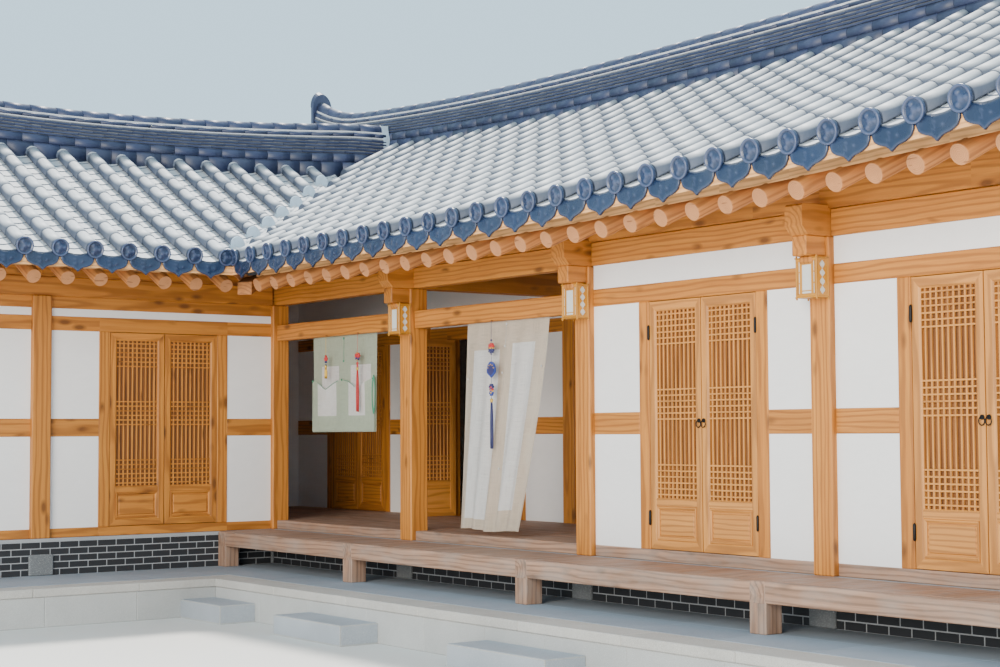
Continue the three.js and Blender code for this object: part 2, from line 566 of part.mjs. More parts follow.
// The two closed bays of the facade, each with a pair of swinging leaves
const CLOSED_BAYS = [{ name: 'bay_b', n: 3 }, { name: 'bay_a', n: 4 }];
const bayPlan = (n) => {
  const centre = (LINES[n] + LINES[n + 1]) / 2 + DOOR_SHIFT;
  return { left: LINES[n] + OUT + FIT, right: LINES[n + 1] - OUT - FIT,
    from: centre - DOORWAY / 2, to: centre + DOORWAY / 2 };
};
const bayFrame = (bay, g = 0) => {
  const member = (x0, x1, z0, z1, back) => block(x0 - g, x1 + g, -RAIL_FACE - g, back + g, z0 - g, z1 + g);
  return join(
    member(bay.left, bay.right, WALL_BOTTOM, FLOOR_TOP, -CORE_BACK),
    member(bay.left, bay.right, ...LINTEL, -CORE_BACK),
    member(bay.from - JAMB, bay.from, FLOOR_TOP - 5, LINTEL[0] + 5, -CORE_BACK),
    member(bay.to, bay.to + JAMB, FLOOR_TOP - 5, LINTEL[0] + 5, -CORE_BACK),
    member(bay.left, bay.from - JAMB + 5, ...MID_RAIL, -FRAME_BACK),
    member(bay.to + JAMB - 5, bay.right, ...MID_RAIL, -FRAME_BACK),
  );
};
const buildClosedBays = () => CLOSED_BAYS.forEach(({ name, n }) => {
  const bay = bayPlan(n);
  add(`${name}_frame`, bayFrame(bay), TIMBER);
  const clear = bayFrame(bay, FIT);
  const side = (x0, x1) => cut(block(x0, x1, -PLASTER_FACE, -CORE_BACK, FLOOR_TOP + FIT, LINTEL[0] - FIT), clear);
  add(`${name}_wall_left`, side(bay.left, bay.from - JAMB - FIT), PLASTER);
  add(`${name}_wall_right`, side(bay.to + JAMB + FIT, bay.right), PLASTER);
  const over = block(bay.left, bay.right, -PLASTER_FACE, -CORE_BACK, LINTEL[1] + FIT, WALL_TOP);
  add(`${name}_wall_over_door`, over, PLASTER);
});

// Door leaves, drawn from the hinge edge towards +X, front face at y = 0 of the hinge's own frame
const LATTICE = { stile: 62, top: 70, bottom: 590, back: 8 };
const PANEL = { top: 500, bottom: 110, deep: 12 };
const leafBody = () => {
  const { width, thick } = LEAF;
  const tall = LEAF.top - LEAF.bottom;
  const plain = block(0, width, 0, thick, 0, tall);
  const lattice = block(LATTICE.stile, width - LATTICE.stile, -1, thick - LATTICE.back, LATTICE.bottom,
    tall - LATTICE.top);
  const groove = block(LATTICE.stile, width - LATTICE.stile, -1, PANEL.deep, PANEL.bottom, PANEL.top);
  const raised = block(LATTICE.stile + 25, width - LATTICE.stile - 25, 4, PANEL.deep + 1, PANEL.bottom + 25,
    PANEL.top - 25);
  return join(cut(plain, lattice, groove), raised);
};

// The hinge's knuckle turns on the joint's axis, 0.3 mm clear of the jamb's corner, and a strap holds the leaf
const KNUCKLE = { radius: 3.2, tall: 110, strap: 48, at: [190, 1670] };
const hingeParts = () => KNUCKLE.at.map((z) => {
  const pin = wasm.Manifold.cylinder(KNUCKLE.tall, KNUCKLE.radius, KNUCKLE.radius, 12).translate([0, 0, z]);
  const strap = block(0, KNUCKLE.strap, -KNUCKLE.radius, HINGE.proud + 1, z + 20, z + KNUCKLE.tall - 20);
  return join(pin, strap);
});
// A leaf on its hinge: the hinge's axis at hingeX and axisY, the leaf towards side (+1 or -1)
const hungLeaf = (hingeX, axisY, side) => {
  const leaf = join(leafBody().translate([HINGE.in, HINGE.proud, 0]), hingeParts());
  const placed = side > 0 ? leaf : leaf.mirror([1, 0, 0]);
  return placed.translate([hingeX, axisY, LEAF.bottom]);
};
const buildLeaves = () => {
  const axisY = -RAIL_FACE + LEAF.recess - HINGE.proud;
  CLOSED_BAYS.forEach(({ name, n }) => {
    const bay = bayPlan(n);
    const hinges = [bay.from + LEAF.side - HINGE.in, bay.to - LEAF.side + HINGE.in];
    add(`${name}_door_left`, hungLeaf(hinges[0], axisY, 1), TIMBER);
    add(`${name}_door_right`, hungLeaf(hinges[1], axisY, -1), TIMBER);
  });
  // The hall's leaf stands open at right angles, swung out over the hall
  const hinge = [HALL_DOOR + LEAF.side - HINGE.in, HALL_DEPTH - RAIL_FACE + LEAF.recess - HINGE.proud];
  const open = hungLeaf(0, 0, 1).rotate([0, 0, -90]).translate([...hinge, 0]);
  add('hall_door_left', open, TIMBER);
};

// Lintels over the open bays, the curtains that hang from them, and the lanterns on the columns
const CURTAIN = { thick: 16, y: -8 };
const CURTAIN_PLANS = [
  { name: 'hall_curtain_green', material: GREEN_RAMIE,
    outline: [[3790, 1755], [5010, 1755], [5030, OPEN_LINTEL[0] - FIT], [3770, OPEN_LINTEL[0] - FIT]] },
  { name: 'hall_curtain_sheer', material: RAMIE,
    outline: [[6580, 850], [7380, 850], [7840, OPEN_LINTEL[0] - FIT], [6610, OPEN_LINTEL[0] - FIT]] },
];
const LANTERN = { width: 206, deep: 130, bottom: 2690, top: 2978 };
const buildHangings = () => {
  [1, 2].forEach((n) => {
    const [left, right] = [LINES[n] + OUT + FIT, LINES[n + 1] - OUT - FIT];
    add(`open_lintel_${n}`, block(left, right, -55, 55, ...OPEN_LINTEL), TIMBER);
  });
  CURTAIN_PLANS.forEach(({ name, material, outline }) => {
    const faces = [CURTAIN.y, CURTAIN.y + CURTAIN.thick];
    add(name, loft(faces.map((y) => outline.map(([x, z]) => [x, y, z]))), material);
  });
  [2, 3, 4].forEach((n) => {
    const x = LINES[n];
    const box = block(x - LANTERN.width / 2, x + LANTERN.width / 2, -OUT - FIT - LANTERN.deep, -OUT - FIT,
      LANTERN.bottom, LANTERN.top);
    add(`lantern_${n - 1}`, box, PAPER);
  });
};

// Rafters
const VALLEY_CLEAR = 115;
const valleyBeam = () => {
  const width = 75;
  const slopeLength = Math.hypot(1, WING_STEEPER);
  const side = [WING_STEEPER / slopeLength, 1 / slopeLength];
  const xs = steps(WING_WIDTH + EAVE - 230, WING_RIDGE_X + 120, 12);
  return loft(xs.map((x) => {
    const y = valleyY(x);
    const top = Math.min(frontUnder(x, y + EAVE), wingUnder(y, WING_WIDTH + EAVE - x)) - 25;
    return [[-width, top - 130], [width, top - 130], [width, top], [-width, top]]
      .map(([w, z]) => [x + side[0] * w, y + side[1] * w, z]);
  }));
};
const ridgeBeam = (stations, top, bottom, lip, place) =>
  loft(stations.map((s) => [
    [-RIDGE_PURLIN_HALF, bottom],
    [RIDGE_PURLIN_HALF, bottom],
    [RIDGE_PURLIN_HALF, top(s) + lip],
    [10, top(s) + lip],
    [8, top(s)],
    [-RIDGE_PURLIN_HALF, top(s)],
  ].map(([w, z]) => place(s, w, z))));
const RIDGE_LIP = 14;
const wingSolid = (g) => plate(wingPlan(g), ...SKY);

const buildRafters = () => {
  const frontPurlin = eavePurlin([WING_WIDTH - 80, ...mainSpan.filter((x) => x > WING_WIDTH)], frontUnder, frontPlace);
  add('front_purlin', cut(frontPurlin, grownBeams), TIMBER);

  const far = MAIN_RUN - RAFTER_SHORT;
  const front = MAIN_RAFTERS.map((x) => rafter(x, frontUnder, frontPlace, far));
  const frontBoard = eaveBoard([VERGE_LEFT + 1, ...everySecond(mainStations).slice(1)], frontBed, frontUnder, frontPlace);
  const inner = purlin(mainSpan, frontUnder, frontPlace, ...INNER_PURLIN, INNER_PURLIN_BOTTOM, 12);
  add('main_front_rafters', join(cut(join(front, frontBoard), wingSolid(VALLEY_CLEAR)), inner), TIMBER);

  const back = MAIN_RAFTERS.map((x) => rafter(x, backUnder, backPlace, far));
  const backBoard = eaveBoard(everySecond(mainStations), backBed, backUnder, backPlace);
  const ridgeBottom = mainRidgePurlinTop(MIDDLE_X) - RIDGE_PURLIN_TALL;
  const ridge = ridgeBeam(mainSpan, mainRidgePurlinTop, ridgeBottom, RIDGE_LIP,
    (x, w, z) => [x, MAIN_RIDGE_Y + w, z]);
  add('main_back_rafters', join(back, backBoard, ridge), TIMBER);

  const wingFar = WING_RUN - RAFTER_SHORT;
  const court = WING_RAFTERS.map((y) => rafter(y, wingUnder, courtPlace, wingFar));
  const courtBoard = eaveBoard(everySecond(wingStations), wingBed, wingUnder, courtPlace);
  const beamEnd = VALLEY_TOP - 80;
  const wingRidgeBottom = wingRidgePurlinTop(WING_RISE.middle) - RIDGE_PURLIN_TALL;
  const wingRidge = ridgeBeam(wingSpan(beamEnd), wingRidgePurlinTop, wingRidgeBottom, RIDGE_LIP,
    (y, w, z) => [WING_RIDGE_X + w, y, z]);
  const wingPart = join(court, courtBoard).intersect(wingSolid(-5));
  const courtBody = join(wingPart, valleyBeam(), wingRidge.intersect(wingSolid(-90)));
  add('wing_court_rafters', cut(courtBody, frontPurlin.translate([0, 0, FIT])), TIMBER);

  const outer = WING_RAFTERS.map((y) => rafter(y, wingUnder, outerPlace, wingFar));
  const outerBoard = eaveBoard(everySecond(wingStations), wingBed, wingUnder, outerPlace);
  const spine = loft(wingSpan(beamEnd).map((y) => {
    const low = wingRidgePurlinTop(y) + 25;
    return [[-45, low], [-8, low], [-8, low + 95], [-45, low + 95]].map(([w, z]) => [WING_RIDGE_X + w, y, z]);
  }));
  add('wing_outer_rafters', join(outer, outerBoard, spine).intersect(wingSolid(-5)), TIMBER);
};

// Roof slopes, ridges and gable boards
const RIDGE_SECTION = [[150, 0], [150, 130], [118, 145], [118, 360], [92, 372], [84, 440], [60, 500], [0, RIDGE_HEIGHT]];
const RIDGE_SEAT = 1.2;
const END_CURL = { reach: 500, by: 130 };
const ridgeBody = (stations, curlAt, baseAt, bedAt, rise, place) =>
  loft(stations.map((s) => {
    const curl = END_CURL.by * (Math.max(0, curlAt(s)) / END_CURL.reach) ** 2;
    const lift = (w, h) => Math.max(baseAt(s) + h + (h / RIDGE_HEIGHT) * (rise(s) + curl), bedAt(s, w) + 1 + h / 50);
    const right = RIDGE_SECTION.slice(1).map(([w, h]) => [w, lift(w, h)]);
    const left = RIDGE_SECTION.slice(1, -1).map(([w, h]) => [-w, lift(-w, h)]).reverse();
    const foot = [-RIDGE_HALF, 0, RIDGE_HALF].map((w) => [w, bedAt(s, w)]);
    return [...foot, ...right, ...left].map(([w, z]) => place(s, w, z));
  }));

// The upright tile that closes a ridge's end, rounded at its top
const END_TILE = { half: 180, low: 10, tall: 370, thick: 60 };
const endTile = (faces, z, place) => {
  const arc = steps(0, Math.PI, 8).map((a) => [END_TILE.half * Math.cos(a), END_TILE.tall - END_TILE.half
    + END_TILE.half * Math.sin(a)]);
  const outline = [[-END_TILE.half * 0.8, END_TILE.low], [END_TILE.half * 0.8, END_TILE.low], ...arc];
  return loft(faces.map((s) => outline.map(([w, h]) => place(s, w, z + h))));
};

// Height of a slope's top face, straight between its section points
const chord = (bed, run) => (s, d) => {
  const unit = (run - FIT) / (SLOPE_POINTS.length - 1);
  const n = Math.min(Math.floor(d / unit), SLOPE_POINTS.length - 2);
  const t = d / unit - n;
  return bed(s, n * unit) * (1 - t) + bed(s, (n + 1) * unit) * t;
};

const buildRoof = () => {
  const mainFront = cut(slope(mainStations, MAIN_RUN, frontBed, frontUnder, frontPlace), wingSolid(1));
  add('main_front_roof', mainFront, TILE);
  add('main_back_roof', slope(mainStations, MAIN_RUN, backBed, backUnder, backPlace), TILE);
  const court = slope(wingStations, WING_RUN, wingBed, wingUnder, courtPlace);
  const outer = slope(wingStations, WING_RUN, wingBed, wingUnder, outerPlace);
  add('wing_court_roof', court.intersect(wingSolid(0)), TILE);
  add('wing_outer_roof', outer.intersect(wingSolid(0)), TILE);

  const ends = [X_LOW_RIDGE, X_HIGH];
  const [mainTop, backTop] = [chord(frontBed, MAIN_RUN), chord(backBed, MAIN_RUN)];
  const mainFoot = (x, w) => (w < 0 ? backTop : mainTop)(x, MAIN_RUN - FIT - Math.abs(w)) + RIDGE_SEAT;
  const acrossMain = (x, w, z) => [x, MAIN_RIDGE_Y - w, z];
  const halfLength = (VERGE_RIGHT - VERGE_LEFT) / 2;
  const mainRidge = ridgeBody([ends[0] + 20, ...everySecond(mainStations), ends[1] - 20],
    (x) => Math.abs(x - MIDDLE_X) - halfLength + END_CURL.reach, (x) => mainFoot(x, 0), mainFoot, () => 0, acrossMain);
  const mainEnds = ends.map((x, i) => endTile(i ? [x - END_TILE.thick, x] : [x, x + END_TILE.thick],
    mainFoot(x, 0), acrossMain));
  add('main_ridge', join(mainRidge, mainEnds), TILE);

  const wingTop = chord(wingBed, WING_RUN);
  const end = MAIN_RIDGE_Y - RIDGE_HALF - FIT;
  const foot = (y, w) => {
    const wing = wingTop(y, WING_RUN - FIT - Math.abs(w)) + RIDGE_SEAT;
    const main = mainTop(WING_RIDGE_X + w, y + EAVE) - 3;
    return y < VALLEY_TOP - 2 * RIDGE_HALF ? wing : Math.max(wing, main);
  };
  const base = (y) => wingTop(Math.min(y, VALLEY_TOP), WING_RUN - FIT) + RIDGE_SEAT;
  const acrossWing = (y, w, z) => [WING_RIDGE_X + w, y, z];
  const wingRidge = ridgeBody([Y_LOW + 20, ...everySecond(wingStations), ...steps(VALLEY_TOP, end, 4)],
    () => 0, base, foot,
    (y) => (WING_RISE.ridge - WING_RISE.slab) * wingRise(y), acrossWing);
  const wingEnd = endTile([Y_LOW, Y_LOW + END_TILE.thick], foot(Y_LOW, 0), acrossWing);
  add('wing_ridge', cut(join(wingRidge, wingEnd), mainFront.translate([0, 0, FIT])), TILE);
};

const GABLE_BOARD = { above: 8, deep: 350 };
const buildGableBoards = () => {
  const mainBoard = (x, frontEnd, outside) => {
    const bed = (y) => (y > MAIN_RIDGE_Y ? backBed(x, Y_HIGH - y) : frontBed(x, y + EAVE)) - GABLE_BOARD.above;
    const ys = [frontEnd, ...steps(frontEnd, MAIN_RIDGE_Y, 4).slice(1), ...steps(MAIN_RIDGE_Y, Y_HIGH - 20, 4).slice(1)];
    const top = ys.map((y) => [y, bed(y)]).reverse();
    const bottom = ys.map((y) => [y, bed(y) - GABLE_BOARD.deep]);
    const faces = outside > 0 ? [x + FIT, x + BOARD] : [x - BOARD, x - FIT];
    return loft(faces.map((at) => [...bottom, ...top].map(([y, z]) => [at, y, z])));
  };
  add('main_left_gable_board', mainBoard(VERGE_LEFT, valleyY(VERGE_LEFT) + 6, -1), TIMBER);
  add('main_right_gable_board', mainBoard(VERGE_RIGHT, -EAVE + 20, 1), TIMBER);
  const bed = (x) => wingBed(WING_VERGE, WING_RUN - Math.abs(x - WING_RIDGE_X)) - GABLE_BOARD.above;
  const xs = steps(X_LOW + 20, WING_WIDTH + EAVE - 20, 8);
  const outline = [...xs.map((x) => [x, bed(x) - GABLE_BOARD.deep]), ...xs.map((x) => [x, bed(x)]).reverse()];
  const faces = [WING_VERGE - BOARD, WING_VERGE - FIT];
  add('wing_gable_board', loft(faces.map((y) => outline.map(([x, z]) => [x, y, z]))), TIMBER);
};

buildBase();
buildFloors();
buildColumns();
buildBeams();
buildOuterWalls();
buildCourtWall();
buildHallWalls();
buildClosedBays();
buildLeaves();
buildHangings();
buildRafters();
buildRoof();
buildGableBoards();

// The origin is the middle of the ground under the roof's outline
house.position.set(-(X_LOW + X_HIGH) / 2, -(Y_LOW + Y_HIGH) / 2, 0);

export default house;
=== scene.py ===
import math

import bpy
import numpy as np
from bpy.props import FloatProperty, FloatVectorProperty, PointerProperty
from mathutils import Matrix, Vector


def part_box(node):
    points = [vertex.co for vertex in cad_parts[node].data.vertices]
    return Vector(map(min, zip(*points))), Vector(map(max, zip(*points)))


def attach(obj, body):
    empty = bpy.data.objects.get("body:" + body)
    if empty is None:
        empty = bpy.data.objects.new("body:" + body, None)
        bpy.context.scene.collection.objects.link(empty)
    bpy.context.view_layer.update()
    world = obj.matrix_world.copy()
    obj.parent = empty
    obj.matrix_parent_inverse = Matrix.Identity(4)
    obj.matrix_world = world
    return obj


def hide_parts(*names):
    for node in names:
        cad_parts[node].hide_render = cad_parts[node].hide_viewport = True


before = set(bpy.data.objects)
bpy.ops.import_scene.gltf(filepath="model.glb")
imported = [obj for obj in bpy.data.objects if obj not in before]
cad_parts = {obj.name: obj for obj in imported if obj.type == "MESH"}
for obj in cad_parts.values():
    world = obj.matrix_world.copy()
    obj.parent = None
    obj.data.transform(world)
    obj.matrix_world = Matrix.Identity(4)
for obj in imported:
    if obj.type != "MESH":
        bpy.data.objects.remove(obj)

bl_info = {
    "name": "Hanok house",
    "version": (1, 0, 0),
    "blender": (4, 5, 0),
    "location": "View3D > Sidebar > Hanok",
    "description": "Dresses the timber house: tiles, logs, lattice doors, stonework, curtains and lanterns",
    "category": "Add Mesh",
}

# Sizes are in millimetres in the house's own plan: x along the row of front columns from the corner post,
# y into the house from their centre line, z up from the ground. PLAN_MIDDLE is the frame's origin in it
PLAN_MIDDLE = np.array([6565.0, 135.0, 0.0])
LINES = [0, 3000, 5700, 8400, 11100, 13800]
HOUSE_MIDDLE = 6900
DEPTH = 5000
RIDGE_DEPTH = 2500
HALL_DEPTH = 2000
WING_LENGTH = 5400
WING_WIDTH = 3000
WING_MIDDLE = 1500
HALF_POST = 97.5
LEFT_FACE, RIGHT_FACE = -97.5, 13897.5
FRONT_FACE, BACK_FACE = -97.5, 5097.5
WING_FACE, COURT_FACE = -5497.5, 3097.5
PLATFORM_TOP = 350
BEAM_FOOT = 566
PORCH_TOP = 715
RAIL_FOOT = 715.3
FLOOR_TOP = 807
MID_RAIL = (1723, 1902)
LINTEL = (2789, 2933)
GABLE_FOOT = 3082
POST_TOP = 3130.7
PLATE_BOTTOM = 3131
PURLIN_BOTTOM = 3328
RIDGE_PURLIN_DEPTH = 215
RAIL_FACE = 47.5
CORE_FACE = 2.5
EAVE = 1140
BACK_EAVE = 6140
MAIN_RUN = 3640
WING_RUN = 2640
STEEPER = 1.13
GABLES = (-430, 14230)
WING_GABLE = -5830
WING_PLAN_END = -338
WINDOW_HALF = 500
WINDOW_TOP = 2702
LEAF_WIDTH = 597.5
LEAF_BOTTOM = 812.5
LEAF_TALL = 1971
DOORWAY = 1215

CHANCE = np.random.default_rng(20)


class HouseSizes(bpy.types.PropertyGroup):
    """Sizes of the small parts that the house is dressed with"""
    tile_pitch: FloatProperty(name="Tile pitch", description="Distance between rows of cover tiles",
                              default=0.3475, unit="LENGTH")
    tile_length: FloatProperty(name="Tile length", default=0.3, unit="LENGTH",
                               description="Visible length of a cover tile down the slope")
    disc_width: FloatProperty(name="Disc width", description="Width of the round tile at a row's foot",
                              default=0.17, unit="LENGTH")
    log_radius: FloatProperty(name="Rafter radius", description="Radius of a rafter log",
                              default=0.0718, unit="LENGTH")
    brick_length: FloatProperty(name="Brick length", description="Length of a base brick", default=0.19,
                                unit="LENGTH")
    brick_height: FloatProperty(name="Brick height", description="Height of a base brick", default=0.057,
                                unit="LENGTH")
    lattice_bar: FloatProperty(name="Lattice bar", description="Width of a lattice bar", default=0.0135,
                               unit="LENGTH")


class HouseColours(bpy.types.PropertyGroup):
    """Colours of the house's materials"""
    timber: FloatVectorProperty(name="Timber", description="Light part of the pine", subtype="COLOR", size=3,
                                default=(0.62, 0.245, 0.038))
    old_timber: FloatVectorProperty(name="Old timber", description="Weathered boards", subtype="COLOR",
                                    size=3, default=(0.47, 0.27, 0.175))
    tile: FloatVectorProperty(name="Tile", description="Fired roof tiles", subtype="COLOR", size=3,
                              default=(0.066, 0.083, 0.125))
    # Eave tile colour: the roof tile's clay made darker and bluer as painted shade of the eave's faces
    glaze: FloatVectorProperty(name="Eave tile", description="Darker tiles along the eave", subtype="COLOR",
                               size=3, default=(0.010, 0.025, 0.07))
    plaster: FloatVectorProperty(name="Plaster", description="Lime plaster", subtype="COLOR", size=3,
                                 default=(0.88, 0.86, 0.86))
    granite: FloatVectorProperty(name="Granite", description="Platform stones", subtype="COLOR", size=3,
                                 default=(0.46, 0.46, 0.45))
    brick: FloatVectorProperty(name="Brick", description="Black base bricks", subtype="COLOR", size=3,
                               default=(0.02, 0.021, 0.025))
    ramie: FloatVectorProperty(name="Ramie", description="Natural ramie cloth", subtype="COLOR", size=3,
                               default=(0.66, 0.56, 0.45))
    green_ramie: FloatVectorProperty(name="Green ramie", description="Grey-green ramie cloth",
                                     subtype="COLOR", size=3, default=(0.48, 0.55, 0.43))


def to_frame(points):
    """Plan millimetres to the frame's metres."""
    return (np.asarray(points, float) - PLAN_MIDDLE) * 0.001


def plan_box(node):
    """Lowest and highest corner of a part of the frame, in plan millimetres."""
    low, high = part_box(node)
    return np.array(low) * 1000 + PLAN_MIDDLE, np.array(high) * 1000 + PLAN_MIDDLE


# Mesh making

class Faces:
    """Polygons over one body's corners, each with a material slot."""

    def __init__(self, polygons, slot=0, smooth=False):
        self.loops = np.array([c for p in polygons for c in p], int)
        self.counts = np.array([len(p) for p in polygons], int)
        self.slots = np.full(len(polygons), slot, int)
        self.smooth = np.full(len(polygons), smooth, bool)

    def plus(self, other):
        both = Faces([])
        for part in ("loops", "counts", "slots", "smooth"):
            setattr(both, part, np.concatenate([getattr(self, part), getattr(other, part)]))
        return both


class Joined:
    """Gathers like bodies, each with its own grain direction and shade, into one mesh."""

    def __init__(self):
        self.parts = []
        self.size = 0

    def add(self, points, faces, grain=None, tone=(0.3, 0.7)):
        """points is (copies, corners, 3) in plan millimetres; grain is the same shape, length first."""
        copies, corners = points.shape[:2]
        grain = points.copy() if grain is None else grain
        grain = grain + np.array([1, 0, 0]) * CHANCE.uniform(0, 60000, (copies, 1, 1))
        shade = np.repeat(CHANCE.uniform(*tone, (copies, 1)), corners, axis=1)
        starts = self.size + np.arange(copies)[:, None] * corners
        self.parts.append({
            "points": points.reshape(-1, 3),
            "grain": grain.reshape(-1, 3) * 0.001,
            "tone": shade.ravel(),
            "loops": (faces.loops[None, :] + starts).ravel(),
            "counts": np.tile(faces.counts, copies),
            "slots": np.tile(faces.slots, copies),
            "smooth": np.tile(faces.smooth, copies),
        })
        self.size += copies * corners

    def build(self, name, paint, slot, replaces=(), body="house"):
        """Make the piece. paint lists the names of its materials; replaces lists the nodes it stands for."""
        data = {k: np.concatenate([p[k] for p in self.parts]) for k in self.parts[0]}
        mesh = bpy.data.meshes.new(name)
        mesh.vertices.add(len(data["points"]))
        mesh.vertices.foreach_set("co", to_frame(data["points"]).ravel())
        mesh.loops.add(len(data["loops"]))
        mesh.loops.foreach_set("vertex_index", data["loops"])
        mesh.polygons.add(len(data["counts"]))
        mesh.polygons.foreach_set("loop_start", np.concatenate([[0], np.cumsum(data["counts"])[:-1]]))
        mesh.polygons.foreach_set("material_index", data["slots"])
        mesh.polygons.foreach_set("use_smooth", data["smooth"])
        mesh.update(calc_edges=True)
        for layer, kind, field in (("grain", "FLOAT_VECTOR", "vector"), ("tone", "FLOAT", "value")):
            mesh.attributes.new(layer, kind, "POINT").data.foreach_set(field, data[layer].ravel())
        for key in paint:
            mesh.materials.append(paints()[key])
        piece = bpy.data.objects.new(name, mesh)
        bpy.context.scene.collection.objects.link(piece)
        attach(piece, body)
        if replaces:
            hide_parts(*replaces)
        return piece


# A length of stone or timber has 24 corners: each corner of its box three times, once on each face
CORNERS = np.array([[i, j, k] for i in (0, 1) for j in (0, 1) for k in (0, 1)])
CORNER_STEPS = (4, 2, 1)


def bar_polygons():
    """A bevelled box: six faces, twelve edge bevels, eight corner triangles, all facing out."""
    unit = np.array([[(s[k] - 0.5) * (2 if k == a else 1.8) for k in range(3)] for s in CORNERS
                     for a in range(3)])

    def at(axes, sides, face):
        return 3 * sum(side * CORNER_STEPS[axis] for axis, side in zip(axes, sides)) + face

    polygons = []
    for a in range(3):
        b, c = (a + 1) % 3, (a + 2) % 3
        axes = (a, b, c)
        for side in (0, 1):
            polygons.append([at(axes, (side, *ends), a) for ends in ((0, 0), (1, 0), (1, 1), (0, 1))])
        for sb in (0, 1):
            for sc in (0, 1):
                polygons.append([at(axes, (sa, sb, sc), face)
                                 for sa, face in ((0, b), (1, b), (1, c), (0, c))])
    polygons += [[n * 3, n * 3 + 1, n * 3 + 2] for n in range(8)]
    outward = []
    for p in polygons:
        corners = unit[p]
        out = np.cross(corners[1] - corners[0], corners[2] - corners[0]) @ corners.mean(axis=0)
        outward.append(p if out > 0 else p[::-1])
    return outward


BAR = bar_polygons()


def bars(piece, boxes, along=0, bevel=4.0, slot=0, tone=(0.3, 0.7)):
    """Bevelled boxes (x0, x1, y0, y1, z0, z1) with the grain along one axis."""
    boxes = np.asarray(boxes, float).reshape(-1, 3, 2)
    low, high = boxes.min(axis=2)[:, None, :], boxes.max(axis=2)[:, None, :]
    bevel = np.minimum(bevel, 0.3 * (high - low).min(axis=2, keepdims=True))
    side = np.repeat(CORNERS, 3, axis=0)[None]
    face = np.tile(np.eye(3), (8, 1))[None]
    points = np.where(side == 1, high - bevel * (1 - face), low + bevel * (1 - face))
    order = [along, (along + 1) % 3, (along + 2) % 3]
    grain = points[..., order] - ((low + high) / 2)[..., order] * np.array([0, 1, 1])
    piece.add(points, Faces(BAR, slot), grain, tone)


def turned(faces):
    """The same faces seen from the other side."""
    flipped = Faces([])
    groups = np.split(faces.loops, np.cumsum(faces.counts)[:-1])
    flipped.loops = np.concatenate([g[::-1] for g in groups])
    flipped.counts, flipped.slots, flipped.smooth = faces.counts, faces.slots, faces.smooth
    return flipped


def upright(x, y, half, z0, z1):
    """An upright box with a square section about (x, y)."""
    return (x - half, x + half, y - half, y + half, z0, z1)


def prism_faces(points, slot=0, smooth=False):
    """Faces of a prism whose near ring of corners comes first and its far ring second, all facing out."""
    count = len(points) // 2
    sides = [[i, (i + 1) % count, count + (i + 1) % count, count + i] for i in range(count)]
    caps = [list(range(count))[::-1], list(range(count, 2 * count))]
    faces = Faces(sides, slot, smooth).plus(Faces(caps, slot))
    near, far = points[:count], points[count:]
    spokes = near - near.mean(axis=0)
    turn = np.cross(spokes, np.roll(spokes, -1, axis=0)).sum(axis=0) @ (far.mean(axis=0) - near.mean(axis=0))
    return turned(faces) if turn < 0 else faces


def pairs(values):
    """Each value with the one after it."""
    return list(zip(values, values[1:]))


def tube_quads(rings, around, inward=False):
    """Quads between rings of corners that all run round the same way."""
    quads = []
    for n in range(rings - 1):
        for i in range(around):
            a, b = n * around + i, n * around + (i + 1) % around
            quads.append([b, a, a + around, b + around] if inward else [a, b, b + around, a + around])
    return quads


def turn_angles(count):
    """Angles of count equal steps round a circle."""
    return np.arange(count) * 2 * math.pi / count


def prisms(piece, profile, spans, place, slot=0, smooth=False, taper=1.0, tone=(0.3, 0.7), across=False):
    """Prisms of one profile (w, h) over spans (near, far), set out by place(along, w, h)."""
    w, h = np.asarray(profile, float).T[:, None, :]
    spans = np.asarray(spans, float).reshape(-1, 2)
    starts, ends = spans[:, :1], spans[:, 1:]
    points = np.concatenate([place(starts, w, h), place(ends, w * taper, h * taper)], axis=1)
    middled = (w - w.mean(), h - h.mean())
    grain = np.concatenate([stack(starts * 0, *middled), stack(ends - starts, *middled)], axis=1)
    if across:
        grain = grain[..., [1, 0, 2]]
    piece.add(points, prism_faces(points[0], slot, smooth), grain, tone)


def arc(radius_w, radius_h, start, end, count, centre=(0, 0)):
    """Points (w, h) on an arc, angles in degrees."""
    angles = np.radians(np.linspace(start, end, count))
    return [(centre[0] + radius_w * math.cos(a), centre[1] + radius_h * math.sin(a)) for a in angles]


def stack(x, y, z):
    """Coordinates of any shapes that fit together, as one array of points."""
    return np.stack(np.broadcast_arrays(x, y, z), axis=-1).astype(float)


# The roof's surfaces, as the frame has them: height at the eave's edge, slope, and curve up the slope

BED_EDGE, BED_SLOPE, BED_CURVE = 3435, 0.43, 1.02e-5
RAFTER_EDGE, RAFTER_SLOPE = 3205, 0.455
EAVE_LIFT, EAVE_LIFT_FROM, EAVE_LIFT_RUN = 168, 6300, 6735
RIDGE_LIFT, RIDGE_LIFT_RUN, RIDGE_CURVE = 120, 5000, 2.5
WING_LIFT, WING_LOWEST, WING_LIFT_RUN, WING_CURVE = 140, -1850, 3920, 1.8


def tile_bed(d):
    return BED_EDGE + BED_SLOPE * d + BED_CURVE * d * d


def rafter_top(d):
    return RAFTER_EDGE + RAFTER_SLOPE * d


def eave_rise(x):
    return EAVE_LIFT * (np.maximum(0, x - EAVE_LIFT_FROM) / EAVE_LIFT_RUN) ** 2


def ridge_rise(x):
    return RIDGE_LIFT * (np.abs(x - HOUSE_MIDDLE) / RIDGE_LIFT_RUN) ** RIDGE_CURVE


def wing_rise(y):
    return (np.abs(y - WING_LOWEST) / WING_LIFT_RUN) ** WING_CURVE


